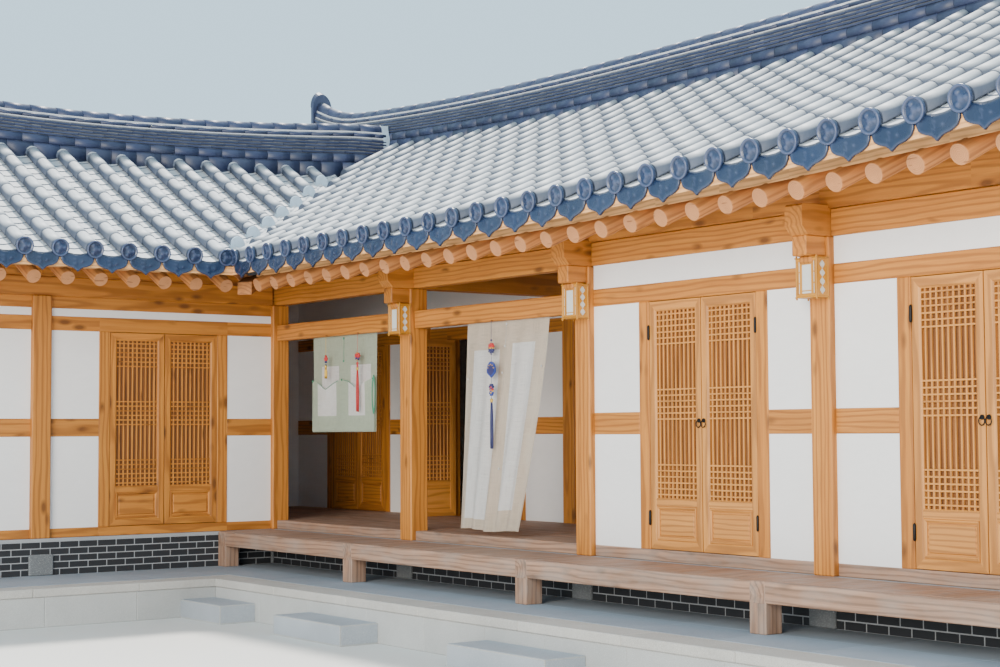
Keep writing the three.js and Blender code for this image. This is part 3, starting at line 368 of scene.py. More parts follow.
class Slope:
    """One face of the roof. s runs along the eave, d is the level distance from the eave's edge."""

    def __init__(self, name, run, low, high, eave, surface, place, valley):
        self.name, self.run, self.low, self.high, self.eave = name, run, low, high, eave
        self.surface, self.place, self.valley = surface, place, valley

    def bed(self, s, d):
        return self.surface(tile_bed, s, d)

    def under(self, s, d):
        return self.surface(rafter_top, s, d)

    def on(self, s, d, h):
        """The point h above the tile bed."""
        return self.place(s, d, self.bed(s, d) + h)


def main_front(layer, s, d):
    t = d / MAIN_RUN
    return layer(d) + (1 - t) * eave_rise(s) + t * ridge_rise(s)


def main_back(layer, s, d):
    t = d / MAIN_RUN
    return layer(d) + (1 - t) * eave_rise(HOUSE_MIDDLE + np.abs(s - HOUSE_MIDDLE)) + t * ridge_rise(s)


def wing_side(layer, s, d):
    return layer(d * STEEPER) + d / WING_RUN * WING_LIFT * wing_rise(s)


def main_valley(x):
    """Where the main front slope starts over the wing: level distance from its eave."""
    return np.maximum(0, STEEPER * (WING_RUN - np.abs(x - WING_MIDDLE)))


def wing_valley(y):
    return np.maximum(0, (y + EAVE) / STEEPER)


def outer_valley(y):
    return np.where(y < WING_PLAN_END, 0.0, wing_valley(y))


def no_valley(s):
    return s * 0.0


WING_INNER_END = 1840
SLOPES = {
    "front": Slope("front", MAIN_RUN, *GABLES, (4145, GABLES[1]), main_front,
                   lambda s, d, z: stack(s, -EAVE + d, z), main_valley),
    "back": Slope("back", MAIN_RUN, *GABLES, GABLES, main_back,
                  lambda s, d, z: stack(s, BACK_EAVE - d, z), no_valley),
    "court": Slope("court", WING_RUN, WING_GABLE, WING_INNER_END, (WING_GABLE, -1145), wing_side,
                   lambda s, d, z: stack(4140 - d, s, z), wing_valley),
    "outer": Slope("outer", WING_RUN, WING_GABLE, WING_INNER_END, (WING_GABLE, WING_PLAN_END), wing_side,
                   lambda s, d, z: stack(-EAVE + d, s, z), outer_valley),
}


# Materials

class Finish:
    """A material's node tree, with short names for the nodes that it uses."""

    def __init__(self, name, roughness, **sockets):
        self.material = bpy.data.materials.new(name)
        self.material.use_nodes = True
        self.tree = self.material.node_tree
        self.shader = self.tree.nodes["Principled BSDF"]
        self.shader.inputs["Roughness"].default_value = roughness
        for socket, value in sockets.items():
            self.shader.inputs[socket.replace("_", " ")].default_value = value

    def node(self, kind, inputs, **settings):
        made = self.tree.nodes.new(kind)
        for key, value in settings.items():
            setattr(made, key, value)
        for key, value in inputs.items():
            if isinstance(value, bpy.types.NodeSocket):
                self.tree.links.new(value, made.inputs[key])
            else:
                made.inputs[key].default_value = value
        return made

    def attribute(self, name, output="Vector"):
        return self.node("ShaderNodeAttribute", {}, attribute_name=name).outputs[output]

    def object_place(self):
        return self.node("ShaderNodeTexCoord", {}).outputs["Object"]

    def stretch(self, vector, x, y, z):
        return self.node("ShaderNodeVectorMath", {0: vector, 1: (x, y, z)}, operation="MULTIPLY").outputs[0]

    def noise(self, vector, scale, detail=3.0, distortion=0.0, roughness=0.55):
        made = self.node("ShaderNodeTexNoise", {"Vector": vector, "Scale": scale, "Detail": detail,
                                                "Distortion": distortion, "Roughness": roughness})
        return made.outputs[0]

    def rings(self, vector, scale, distortion, detail, detail_scale=1.0):
        """Growth rings round the length of a timber."""
        made = self.node("ShaderNodeTexWave", {"Vector": vector, "Scale": scale, "Distortion": distortion,
                                               "Detail": detail, "Detail Scale": detail_scale},
                         wave_type="RINGS", rings_direction="X")
        return made.outputs[1]

    def spots(self, vector, scale):
        made = self.node("ShaderNodeTexVoronoi", {"Vector": vector, "Scale": scale})
        return made.outputs["Distance"]

    def ramp(self, factor, *stops):
        """Grey ramp through (position, value) stops."""
        made = self.node("ShaderNodeValToRGB", {"Fac": factor})
        made.color_ramp.elements[0].position = stops[0][0]
        made.color_ramp.elements[-1].position = stops[-1][0]
        for position, _ in stops[1:-1]:
            made.color_ramp.elements.new(position)
        for element, (_, value) in zip(made.color_ramp.elements, stops):
            element.color = (value, value, value, 1)
        return made.outputs[0]

    def sums(self, operation, a, b):
        return self.node("ShaderNodeMath", {0: a, 1: b}, operation=operation).outputs[0]

    def mix(self, factor, a, b, blend="MIX"):
        made = self.node("ShaderNodeMix", {}, data_type="RGBA", blend_type=blend)
        for key, value in ((0, factor), (6, a), (7, b)):
            if isinstance(value, bpy.types.NodeSocket):
                self.tree.links.new(value, made.inputs[key])
            elif key == 0:
                made.inputs[key].default_value = value
            else:
                made.inputs[key].default_value = (*value[:3], 1)
        return made.outputs[2]

    def grey(self, factor, low, high):
        """A factor as a brightness between low and high."""
        return self.mix(factor, (low, low, low), (high, high, high))

    def vary(self, colour, factor, low, high):
        """A colour times a brightness that a factor sets between low and high."""
        return self.mix(1.0, colour, self.grey(factor, low, high), "MULTIPLY")

    def colour(self, socket):
        self.tree.links.new(socket, self.shader.inputs["Base Color"])

    def rough(self, factor, low, high):
        span = self.node("ShaderNodeMapRange", {"Value": factor, "To Min": low, "To Max": high})
        self.tree.links.new(span.outputs[0], self.shader.inputs["Roughness"])

    def bump(self, height, distance, strength=0.6):
        made = self.node("ShaderNodeBump", {"Height": height, "Distance": distance, "Strength": strength})
        self.tree.links.new(made.outputs[0], self.shader.inputs["Normal"])


def shaded(colour, by):
    return tuple(c * by for c in colour)


def timber_finish(name, light, dark, knots=0.85, roughness=0.55, streaks=0.6, wear=0.0):
    """Planed pine: growth rings and fibres along the length, knots, and a shade for each member."""
    f = Finish(name, roughness)
    grain = f.attribute("grain")
    tone = f.attribute("tone", "Fac")
    long_grain = f.stretch(grain, 0.14, 1, 1)
    heart = f.node("ShaderNodeVectorMath", {0: long_grain, 1: (0, 0.03, 0.11)}, operation="ADD").outputs[0]
    rings = f.rings(heart, 8.0, 6.0, 1.5, 1.1)
    streak = f.noise(f.stretch(grain, 1.1, 26, 26), 1.0, 4.0, 0.6)
    fibre = f.noise(f.stretch(grain, 5, 210, 210), 1.0, 2.0)
    patch = f.noise(f.stretch(grain, 0.8, 4, 4), 1.0, 2.0)
    where = f.ramp(f.noise(f.stretch(grain, 1.1, 3, 3), 1.0, 1.0), (0.5, 0), (0.56, 1))
    spot = f.ramp(f.spots(f.stretch(grain, 3.6, 9, 9), 1.0), (0.13, 1), (0.19, 0.7), (0.33, 0))
    knot = f.sums("MULTIPLY", spot, where)
    blend = f.mix(f.ramp(streak, (0.3, 0), (0.7, streaks)), light, dark)
    ringed = f.mix(f.ramp(rings, (0.5, 0), (0.97, 0.6)), blend, shaded(dark, 0.62))
    fine = f.vary(ringed, fibre, 0.86, 1.12)
    toned = f.vary(fine, tone, 0.78, 1.2)
    patched = f.vary(toned, patch, 0.84, 1.14)
    knotted = f.mix(f.sums("MULTIPLY", knot, knots), patched, shaded(dark, 0.3))
    if wear:
        worn = f.noise(f.stretch(grain, 3, 9, 9), 1.0, 5.0)
        grey = tuple(sum(light) / 3 * k for k in (1.15, 1.0, 0.9))
        knotted = f.mix(f.ramp(worn, (0.4, 0), (0.7, wear)), knotted, grey)
    f.colour(knotted)
    f.rough(streak, roughness - 0.1, roughness + 0.12)
    f.bump(f.sums("ADD", f.sums("MULTIPLY", rings, 0.4), fibre), 0.0012)
    return f.material


def log_end_finish(name, light, dark):
    """Sawn end of a log: rings round the heart and a few drying cracks."""
    f = Finish(name, 0.75)
    grain = f.attribute("grain")
    face = f.stretch(grain, 0.0, 1, 1)
    rings = f.rings(face, 26.0, 1.2, 2.0)
    crack = f.ramp(f.noise(f.stretch(grain, 1.0, 7, 38), 1.0, 1.0), (0.66, 0), (0.7, 0.6))
    patch = f.noise(grain, 14.0, 4.0)
    ringed = f.mix(f.ramp(rings, (0.3, 0), (1.0, 0.35)), light, dark)
    patched = f.vary(ringed, patch, 0.8, 1.15)
    f.colour(f.mix(crack, patched, shaded(dark, 0.35)))
    f.bump(f.sums("SUBTRACT", rings, crack), 0.002)
    return f.material


def tile_finish(name, base, roughness, pale=0.22, sun_and_dust_facing=(0.5, 0.9), sun_and_dust_amount=0.0, raised=0.0):
    """Smoke-fired clay: each tile its own shade, cloudy, with pale bloom, and pale on what faces up as painted
    sunlight on the tops, with a dusting there too.
    """
    f = Finish(name, roughness, Specular_IOR_Level=0.6)
    normal = f.node("ShaderNodeNewGeometry", {}).outputs["Normal"]
    up = f.node("ShaderNodeSeparateXYZ", {0: normal}).outputs[2]
    # Painted sunlight, with some dusting: faces that turn upwards are mixed towards a pale grey, as if lit by
    # a high sun
    sun_and_dust_mask = f.ramp(up, (sun_and_dust_facing[0], 0), (sun_and_dust_facing[1], sun_and_dust_amount))
    place = f.attribute("grain")
    tone = f.attribute("tone", "Fac")
    cloud = f.noise(place, 7.0, 5.0)
    grit = f.noise(place, 160.0, 3.0)
    bloom = f.ramp(f.noise(place, 2.6, 5.0, 0.5), (0.45, 0), (0.75, pale))
    toned = f.vary(base, tone, 0.62, 1.36)
    clouded = f.vary(toned, cloud, 0.78, 1.22)
    # The pale grey of the painted sunlit, dusted tops
    lit_and_dusted = f.mix(sun_and_dust_mask, clouded, (0.62, 0.635, 0.65))
    # Painted highlight: the raised relief of the eave tiles goes paler blue, as if its glossy crowns caught
    # the light
    if raised:
        out = f.node("ShaderNodeSeparateXYZ", {0: place}).outputs[2]
        lit_and_dusted = f.mix(f.ramp(out, (0.004, 0), (0.014, raised)), lit_and_dusted, (0.24, 0.28, 0.48))
    bloomed = f.mix(bloom, lit_and_dusted, (0.56, 0.58, 0.6))
    f.colour(f.vary(bloomed, grit, 0.9, 1.1))
    f.rough(cloud, roughness - 0.12, roughness + 0.14)
    f.bump(f.sums("ADD", grit, f.sums("MULTIPLY", cloud, 2.0)), 0.0015)
    return f.material


def stone_finish(name, base, speck=0.5, roughness=0.8, bump=0.002):
    """Dressed granite: light and dark grains, damp clouds and a pecked surface."""
    f = Finish(name, roughness)
    place = f.object_place()
    dark = f.ramp(f.noise(place, 240.0, 2.0), (0.36, 1), (0.46, 0))
    light = f.ramp(f.noise(place, 150.0, 2.0, 0.4), (0.58, 0), (0.66, 1))
    cloud = f.noise(place, 1.7, 5.0)
    tone = f.attribute("tone", "Fac")
    clouded = f.vary(base, cloud, 0.74, 1.2)
    toned = f.vary(clouded, tone, 0.88, 1.1)
    with_dark = f.mix(f.sums("MULTIPLY", dark, speck), toned, shaded(base, 0.35))
    f.colour(f.mix(f.sums("MULTIPLY", light, speck * 0.8), with_dark, (0.72, 0.72, 0.7)))
    f.bump(f.noise(place, 90.0, 5.0), bump)
    return f.material


def plaster_finish(name, base):
    """Trowelled lime plaster: faint clouds and float marks."""
    f = Finish(name, 0.88)
    place = f.object_place()
    cloud = f.noise(place, 0.9, 5.0, 0.3)
    trowel = f.noise(f.stretch(place, 1, 1, 2.2), 6.0, 4.0, 0.8)
    clouded = f.vary(base, cloud, 0.93, 1.05)
    f.colour(f.vary(clouded, trowel, 0.965, 1.03))
    f.bump(f.sums("ADD", trowel, f.sums("MULTIPLY", f.noise(place, 180.0, 3.0), 0.35)), 0.0025, 0.5)
    return f.material


def cloth_finish(name, base, threads=900.0, sheen=0.25):
    """Plain-woven ramie: uneven threads both ways, slubs, and light through the weave."""
    f = Finish(name, 0.85, Sheen_Weight=sheen, Sheen_Roughness=0.4)
    place = f.attribute("grain")
    warp = f.noise(f.stretch(place, threads, 6, 1), 1.0, 1.0)
    weft = f.noise(f.stretch(place, 6, threads, 1), 1.0, 1.0)
    weave = f.sums("ADD", warp, weft)
    slub = f.ramp(f.noise(f.stretch(place, 9, 300, 1), 1.0, 2.0), (0.55, 0), (0.75, 1))
    # Painted shade of soft folds: the cloth a little darker and lighter in long streaks down its drop
    fold = f.noise(f.stretch(place, 3, 0.6, 1), 1.0, 3.0)
    woven = f.vary(base, f.sums("MULTIPLY", weave, 0.5), 0.8, 1.18)
    slubbed = f.mix(f.sums("MULTIPLY", slub, 0.22), woven, shaded(base, 0.7))
    f.colour(f.vary(slubbed, fold, 0.92, 1.06))
    f.bump(weave, 0.0006)
    through = f.tree.nodes.new("ShaderNodeBsdfTranslucent")
    through.inputs["Color"].default_value = (*base, 1)
    blend = f.node("ShaderNodeMixShader", {0: 0.3})
    f.tree.links.new(f.shader.outputs[0], blend.inputs[1])
    f.tree.links.new(through.outputs[0], blend.inputs[2])
    clear = f.node("ShaderNodeMixShader", {0: f.ramp(weave, (0.8, 0.34), (1.15, 0.04))})
    f.tree.links.new(blend.outputs[0], clear.inputs[1])
    f.tree.links.new(f.tree.nodes.new("ShaderNodeBsdfTransparent").outputs[0], clear.inputs[2])
    f.tree.links.new(clear.outputs[0], f.tree.nodes["Material Output"].inputs["Surface"])
    return f.material


def plain_finish(name, base, roughness, scale=40.0, change=0.15, bump=0.0006, **sockets):
    """A small part's finish: worked surface with uneven shade."""
    f = Finish(name, roughness, **sockets)
    place = f.attribute("grain")
    uneven = f.noise(place, scale, 4.0)
    f.colour(f.vary(base, uneven, 1 - change, 1 + change))
    f.rough(uneven, max(0.05, roughness - 0.1), min(1.0, roughness + 0.1))
    f.bump(f.noise(place, scale * 5, 3.0), bump)
    return f.material


PAINTS = {}


def paints():
    """All materials, made once from the chosen colours."""
    if PAINTS:
        return PAINTS
    c = bpy.context.scene.house_colours
    timber = tuple(c.timber)
    old = tuple(c.old_timber)
    PAINTS.update(
        timber=timber_finish("Pine", timber, (timber[0] * 0.7, timber[1] * 0.56, timber[2] * 0.42)),
        joinery=timber_finish("Joinery pine", (0.66, 0.285, 0.06), (0.47, 0.17, 0.028), 0.0, 0.5, 0.5),
        log=timber_finish("Pine log", (0.58, 0.23, 0.06), (0.37, 0.12, 0.028), 0.7, 0.6),
        old=timber_finish("Weathered pine", old, shaded(old, 0.52), 0.5, 0.62, 0.8, 0.45),
        log_end=log_end_finish("Log end", (0.56, 0.245, 0.1), (0.36, 0.125, 0.04)),
        fresh=timber_finish("Eave board pine", (0.88, 0.47, 0.19), (0.68, 0.31, 0.11), 0.2, 0.55, 0.4),
        # Lattice backing: a backing behind the bars, coloured dark brown as painted shade
        screen=timber_finish("Lattice backing", (0.29, 0.115, 0.032), (0.19, 0.07, 0.02), 0.0, 0.7),
        # Roof tile: the last two values set the painted sunlight and dusting on upward faces
        tile=tile_finish("Roof tile", tuple(c.tile), 0.58, 0.1, (0.38, 0.78), 0.8),
        # Ridge tile: a darker, bluer copy of the roof tile as painted shade of the ridge's faces, with a
        # little painted sunlight and dusting on upward faces
        ridge=tile_finish("Ridge tile", (0.026, 0.036, 0.09), 0.45, 0.05, (0.75, 1.0), 0.28),
        # Eave tile: the roof tile made darker and bluer as painted shade, glossier, with a painted highlight
        # on its raised relief
        glaze=tile_finish("Eave tile", tuple(c.glaze), 0.27, 0.03, raised=0.2),
        bed=tile_finish("Tile bed", (0.12, 0.125, 0.14), 0.85),
        lime=plain_finish("Lime mortar", (0.66, 0.67, 0.69), 0.85, 30.0, 0.14, 0.003),
        cement=plain_finish("Cement", (0.45, 0.56, 0.66), 0.85, 18.0, 0.2, 0.003),
        plaster=plaster_finish("Lime plaster", tuple(c.plaster)),
        granite=stone_finish("Granite", tuple(c.granite)),
        pad=stone_finish("Base stone", (0.17, 0.18, 0.19)),
        coping=stone_finish("Coping granite", (0.50, 0.475, 0.44)),
        # Step and paving: darker, bluer copies of the platform granite as painted shade
        step=stone_finish("Step granite", (0.36, 0.39, 0.43)),
        paving=stone_finish("Paving", (0.31, 0.36, 0.42), 0.25),
        brick=plain_finish("Black brick", tuple(c.brick), 0.7, 60.0, 0.35, 0.002),
        mortar=stone_finish("Brick mortar", (0.42, 0.43, 0.45), 0.3),
        iron=plain_finish("Black iron", (0.012, 0.012, 0.013), 0.42, 90.0, 0.3, 0.0005, Metallic=0.7),
        ramie=cloth_finish("Ramie", tuple(c.ramie)),
        white_ramie=cloth_finish("White ramie", (0.8, 0.79, 0.78)),
        green=cloth_finish("Green ramie", tuple(c.green_ramie)),
        gold_timber=timber_finish("Lantern timber", (0.62, 0.275, 0.022), (0.45, 0.18, 0.014), 0.0, 0.4),
        paper=plain_finish("Mulberry paper", (0.62, 0.64, 0.62), 0.9, 60.0, 0.07, 0.0006),
        navy=plain_finish("Navy silk", (0.004, 0.008, 0.11), 0.45, 300.0, 0.3, 0.0006, Sheen_Weight=0.4),
        red=plain_finish("Red silk", (0.5, 0.004, 0.006), 0.45, 300.0, 0.25, 0.0006, Sheen_Weight=0.4),
        gold=plain_finish("Gold thread", (0.66, 0.42, 0.07), 0.35, 200.0, 0.25, 0.0005, Metallic=0.6),
        blue=plain_finish("Blue silk", (0.008, 0.04, 0.28), 0.4, 200.0, 0.3, 0.0005, Sheen_Weight=0.3),
        teal=plain_finish("Green silk", (0.03, 0.24, 0.13), 0.45, 200.0, 0.3, 0.0005, Sheen_Weight=0.3),
    )
    return PAINTS


def repaint(names, paint):
    """Give parts of the frame that stay in view their own finish."""
    for name in names:
        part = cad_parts[name]
        for holder in part.material_slots:
            holder.material = paints()[paint]


# Roof

COVER = {"radius": 82, "axis": 64, "base": -20, "narrow": 0.93, "foot": 6, "lap": 22, "ridge_gap": 95}
TROUGH = {"half": 152, "low": 16, "rise": 34, "thick": 13, "course": 136, "back": 4, "lap": 30, "sink": 11.0,
          "ridge_gap": 60, "clear": 22}
COURSE_LEVEL = 0.905
SHORTEST_TILE = 40
ROW_ANCHOR = 13247
VERGE_ROW = 92
VALLEY_GAPS = {MAIN_RUN: 60, WING_RUN: 165}


def row_places(slope):
    """Where the rows of cover tiles lie along the eave."""
    pitch = bpy.context.scene.house_sizes.tile_pitch * 1000
    if slope.run == MAIN_RUN:
        rows = ROW_ANCHOR - pitch * np.arange(-1, 40)
        rows = rows[(rows > slope.low + 60) & (rows < slope.high - 60)]
        return np.sort(np.append(rows, slope.high - VERGE_ROW))
    rows = slope.low + VERGE_ROW + pitch * np.arange(0, 23)
    return rows[rows < slope.high - 40]


def row_start(slope, s, gap):
    """Where a row at s starts: at the eave, or a gap above the valley."""
    start = float(slope.valley(s))
    return start + gap if start > 0 else 0.0


def course_spans(start, end, step, back, lap):
    """Spans of the tiles up one row: each starts back before its step and ends lap after the next."""
    spans = [(max(start, n * step - back), min((n + 1) * step + lap, end))
             for n in range(math.floor(start / step), math.ceil(end / step))]
    return [(near, far) for near, far in spans if far - near > SHORTEST_TILE]


def tile_rows(slope):
    """Rows of overlapping half-round cover tiles, with troughs between them."""
    piece = Joined()
    rows = row_places(slope)
    level = bpy.context.scene.house_sizes.tile_length * 1000 * COURSE_LEVEL
    gap = VALLEY_GAPS[slope.run]

    def cover(column):
        return lambda along, w, h: slope.on(column + w, along, h + COVER["axis"] + slope.bed(column, along)
                                            - slope.bed(column + w, along))
    spans, columns = [], []
    for s in rows:
        start = max(COVER["foot"], row_start(slope, s, gap))
        found = course_spans(start, slope.run - COVER["ridge_gap"], level, 0, COVER["lap"])
        spans += found
        columns += [s] * len(found)
    radius = COVER["radius"]
    profile = arc(radius, radius, 0, 180, 11) + [(-radius, COVER["base"]), (radius, COVER["base"])]
    prisms(piece, profile, spans, cover(np.array(columns)[:, None]), smooth=True, taper=COVER["narrow"],
           tone=(0.3, 0.72))
    if slope.run == WING_RUN:
        starts = np.array([row_start(slope, s, gap) for s in rows])
        cut = starts > 0
        plug = arc(radius - 3, radius - 3, 0, 180, 9) + [(-radius, -44), (radius, -44)]
        prisms(piece, plug, [(d - 16, d + 30) for d in starts[cut]], cover(rows[cut][:, None]), slot=1)

    half = TROUGH["half"]
    spans, columns, widths = [], [], []
    for a, b in pairs(rows):
        middle = (a + b) / 2
        found = course_spans(row_start(slope, middle, gap - 25), slope.run - TROUGH["ridge_gap"],
                             TROUGH["course"], TROUGH["back"], TROUGH["lap"])
        spans += found
        columns += [middle] * len(found)
        widths += [((b - a) / 2 - TROUGH["clear"]) / half] * len(found)
    column = np.array(columns)[:, None]
    wide = np.array(widths)[:, None]
    top = [(w, TROUGH["low"] + TROUGH["rise"] * (w / half) ** 2) for w in np.linspace(-half, half, 6)]
    bottom = [(w, h - TROUGH["thick"]) for w, h in reversed(top)]
    far_ends = np.array([far for _, far in spans])[:, None]

    def trough(along, w, h):
        sink = np.where(along >= far_ends, TROUGH["sink"], 0.0)
        return slope.on(column + w * wide, along, h - sink)
    prisms(piece, top + bottom, spans, trough, tone=(0.3, 0.75))
    return piece


def disc_template():
    """The round tile that closes a row: raised rim, three petals, a ring and a boss."""
    around = 24
    radius = 85
    outline = [(radius - 5, -16), (radius, -12), (radius, 14), (radius - 4, 18), (radius - 14, 18),
               (radius - 18, 4)]
    inner = [0.72, 0.58, 0.44, 0.3, 0.16]
    turns = turn_angles(around)
    points = [(r * math.cos(a), r * math.sin(a), out) for r, out in outline for a in turns]
    for part in inner:
        r = radius * part
        ring = 3.5 * math.exp(-((part - 0.3) / 0.05) ** 2)
        boss = 8 if part < 0.2 else 0
        for a in turns:
            petal = 12 * max(0.0, math.cos(3 * a)) * math.exp(-((part - 0.5) / 0.16) ** 2)
            points.append((r * math.cos(a), r * math.sin(a), 3 + petal + ring + boss))
    points.append((0, 0, 13))
    rings = len(outline) + len(inner)
    last = (rings - 1) * around
    polygons = tube_quads(rings, around)
    polygons += [[last + i, last + (i + 1) % around, rings * around] for i in range(around)]
    polygons.append(list(range(around))[::-1])
    return np.array(points, float), Faces(polygons, 0, True)


DROP = {"half": 164, "top": 2, "rise": 44, "foot": -120, "round": 84, "tip": 34, "thick": 14,
        "columns": 17, "rows": 9}


def drop_template():
    """The hanging tile between two discs: concave top, pointed foot, raised border and a small flower."""
    front, back = [], []
    for row in range(DROP["rows"]):
        v = row / (DROP["rows"] - 1)
        for column in range(DROP["columns"]):
            u = 2 * column / (DROP["columns"] - 1) - 1
            high = DROP["top"] + DROP["rise"] * u * u
            low = (DROP["foot"] + DROP["round"] * (1 - math.sqrt(max(0.0, 1 - u * u)))
                   - DROP["tip"] * max(0.0, 1 - abs(u) / 0.32) ** 1.6)
            h = high + (low - high) * v
            w = u * DROP["half"]
            edge = min(1 - abs(u), 1 - v)
            border = 7 if edge < 0.13 and row > 0 else 0
            spread = math.hypot(w, h + 56)
            angle = math.atan2(h + 56, w)
            flower = 14 * max(0.0, math.cos(2.5 * angle)) ** 2 * math.exp(-((spread - 34) / 20) ** 2)
            front.append((w, h, border + flower))
            back.append((w, h, -DROP["thick"]))
    points = np.array(front + back, float)
    columns, rows = DROP["columns"], DROP["rows"]
    count = columns * rows
    polygons = []
    for r in range(rows - 1):
        for c in range(columns - 1):
            a = r * columns + c
            quad = [a, a + columns, a + columns + 1, a + 1]
            polygons.append(quad)
            polygons.append([count + i for i in reversed(quad)])
    rim = (list(range(columns)) + [r * columns + columns - 1 for r in range(1, rows)]
           + [(rows - 1) * columns + c for c in range(columns - 2, -1, -1)]
           + [r * columns for r in range(rows - 2, 0, -1)])
    for a, b in zip(rim, rim[1:] + rim[:1]):
        polygons.append([a, b, count + b, count + a])
    return points, Faces(polygons, 0, True)


DISC_WIDTH = 170
DISC_LEAN = 0.12
DISC_TILT = 0.11
DROP_PITCH = 173.75


def eave_tiles(slope):
    """Discs and hanging tiles along one eave."""
    piece = Joined()
    rows = row_places(slope)
    mirrored = slope.name in ("back", "court")

    def hang(points, faces, w, h, out, tone):
        grain = np.broadcast_to(np.stack([w, h, out], -1), points.shape)
        piece.add(points, turned(faces) if mirrored else faces, grain, tone)

    template, faces = disc_template()
    size = bpy.context.scene.house_sizes.disc_width * 1000 / DISC_WIDTH
    w, h, out = (template * np.array([size, size, 1]))[None].transpose(2, 0, 1)
    s = rows[slope.valley(rows) <= 0][:, None]
    level = slope.bed(s, 0.0) + COVER["axis"] + 2
    hang(slope.place(s + w, -24 - out - h * DISC_LEAN, level + h - out * DISC_TILT), faces, w, h, out,
         (0.35, 0.75))

    template, faces = drop_template()
    middles = (rows[1:] + rows[:-1]) / 2
    clear = slope.valley(middles) <= 0
    s = middles[clear][:, None]
    wide = (rows[1:] - rows[:-1])[clear][:, None] / 2 / DROP_PITCH
    w, h, out = template[None].transpose(2, 0, 1)
    hang(slope.place(s + w * wide, -8 - out + (h - 50) * 0.1, slope.bed(s, 0.0) + h), faces, w, h, out,
         (0.15, 0.6))
    return piece


def both_sides(right):
    """A closed section from its right-hand side."""
    return right + [(-w, h) for w, h in reversed(right)]


# Courses of a ridge from its foot up: section, material slot, smooth or not, and how much each length narrows
RIDGE_TALL = 535
RIDGE_STEP = 300
RIDGE_COURSES = [
    ([(148, -95), (158, 8), (160, 42), (154, 78), (140, 100)], 0, True, 1.0),
    ([(128, 98), (146, 110), (152, 140), (148, 172), (134, 192)], 0, True, 1.0),
    *(([(131 - 2 * n, 200 + 34 * n), (136 - 2 * n, 204 + 34 * n), (136 - 2 * n, 216 + 34 * n),
        (130 - 2 * n, 222 + 34 * n)], 0, False, 0.985) for n in range(5)),
    ([(104, 366), (107, 384)], 1, False, 1.0),
    ([(104, 382), (118, 388), (122, 404), (114, 420), (96, 428)], 0, True, 1.0),
    ([(84, 426), (87, 446)], 1, False, 1.0),
]
RIDGE_CORE = [(116, -80), (116, 370), (84, 372), (72, 450)]
RIDGE_CAP = arc(86, 78, 0, 180, 11, (0, 456)) + [(-86, 444), (86, 444)]
CORE_STEP = 200.0
CAP_LAP = 14
JOINT_SHIFT = 127


def ridge_rows(low, high, place):
    """One ridge: dark core, stacked courses with staggered joints, lime lines and a half-round cap."""
    piece = Joined()
    spans = [(a, min(a + CORE_STEP, high)) for a in np.arange(low, high, CORE_STEP)]
    prisms(piece, both_sides(RIDGE_CORE), spans, place, slot=2)
    for n, (section, slot, smooth, taper) in enumerate(RIDGE_COURSES):
        gap = 2 if slot == 0 else 0
        starts = np.arange(low - n * JOINT_SHIFT % RIDGE_STEP, high, RIDGE_STEP)
        lengths = [(max(low, a), min(a + RIDGE_STEP, high)) for a in starts]
        spans = [(a + gap, b - gap) for a, b in lengths if b - a > 30]
        prisms(piece, both_sides(section), spans, place, slot, smooth, taper, (0.15, 0.6))
    caps = [(a, min(a + RIDGE_STEP + CAP_LAP, high)) for a in np.arange(low, high - 40, RIDGE_STEP)]
    prisms(piece, RIDGE_CAP, caps, place, smooth=True, taper=0.992, tone=(0.3, 0.7))
    return piece


MAIN_END = 7200
CURL_RUN = 1000
CURL = 205
WING_CURL = 90
WING_RIDGE_LEVEL_FROM = 1843


def main_ridge_place(along, w, h):
    reach = np.maximum(0, np.abs(along - HOUSE_MIDDLE) - MAIN_END + CURL_RUN)
    curl = CURL * (reach / CURL_RUN) ** 2
    base = tile_bed(MAIN_RUN) + ridge_rise(along)
    return stack(along, RIDGE_DEPTH - w, base + h + h / RIDGE_TALL * curl)


def wing_ridge_place(along, w, h):
    capped = np.minimum(along, WING_RIDGE_LEVEL_FROM)
    base = tile_bed(WING_RUN * STEEPER) + WING_LIFT * wing_rise(capped)
    return stack(WING_MIDDLE + w, along, base + h + h / RIDGE_TALL * WING_CURL * wing_rise(along))


END_CENTRE = (0, 470)
END_RADIUS = 142
END_HALF = 30
END_RIM = 12


def ridge_end(piece, place, middle, outward):
    """The upright rounded tile that closes a ridge, with a rim and a flower on its outer face."""
    tone = (0.3, 0.4)
    ring_out, ring_in = (arc(radius, radius, -4, 184, 17, END_CENTRE) for radius in (END_RADIUS, 120))
    prisms(piece, [(-140, 190), (140, 190)] + ring_out, [(middle - END_HALF, middle + END_HALF)], place,
           tone=tone)
    face = middle + outward * END_HALF
    for (a, b), (c, d) in zip(pairs(ring_out), pairs(ring_in)):
        prisms(piece, [a, b, d, c], [(face, face + outward * END_RIM)], place, tone=tone)
    points, faces = disc_template()
    w, h, out = (points * np.array([1.25, 1.25, 1.0]))[None].transpose(2, 0, 1)
    disc = place(face + outward * (out + 4), w, h + END_CENTRE[1])
    rim = disc[0, :24]
    axis = place(face + outward, *END_CENTRE) - place(face, *END_CENTRE)
    spin = np.cross(rim - rim.mean(axis=0), np.roll(rim, -1, axis=0) - rim).sum(axis=0) @ axis
    piece.add(disc, faces if spin > 0 else turned(faces), None, (0.4, 0.5))


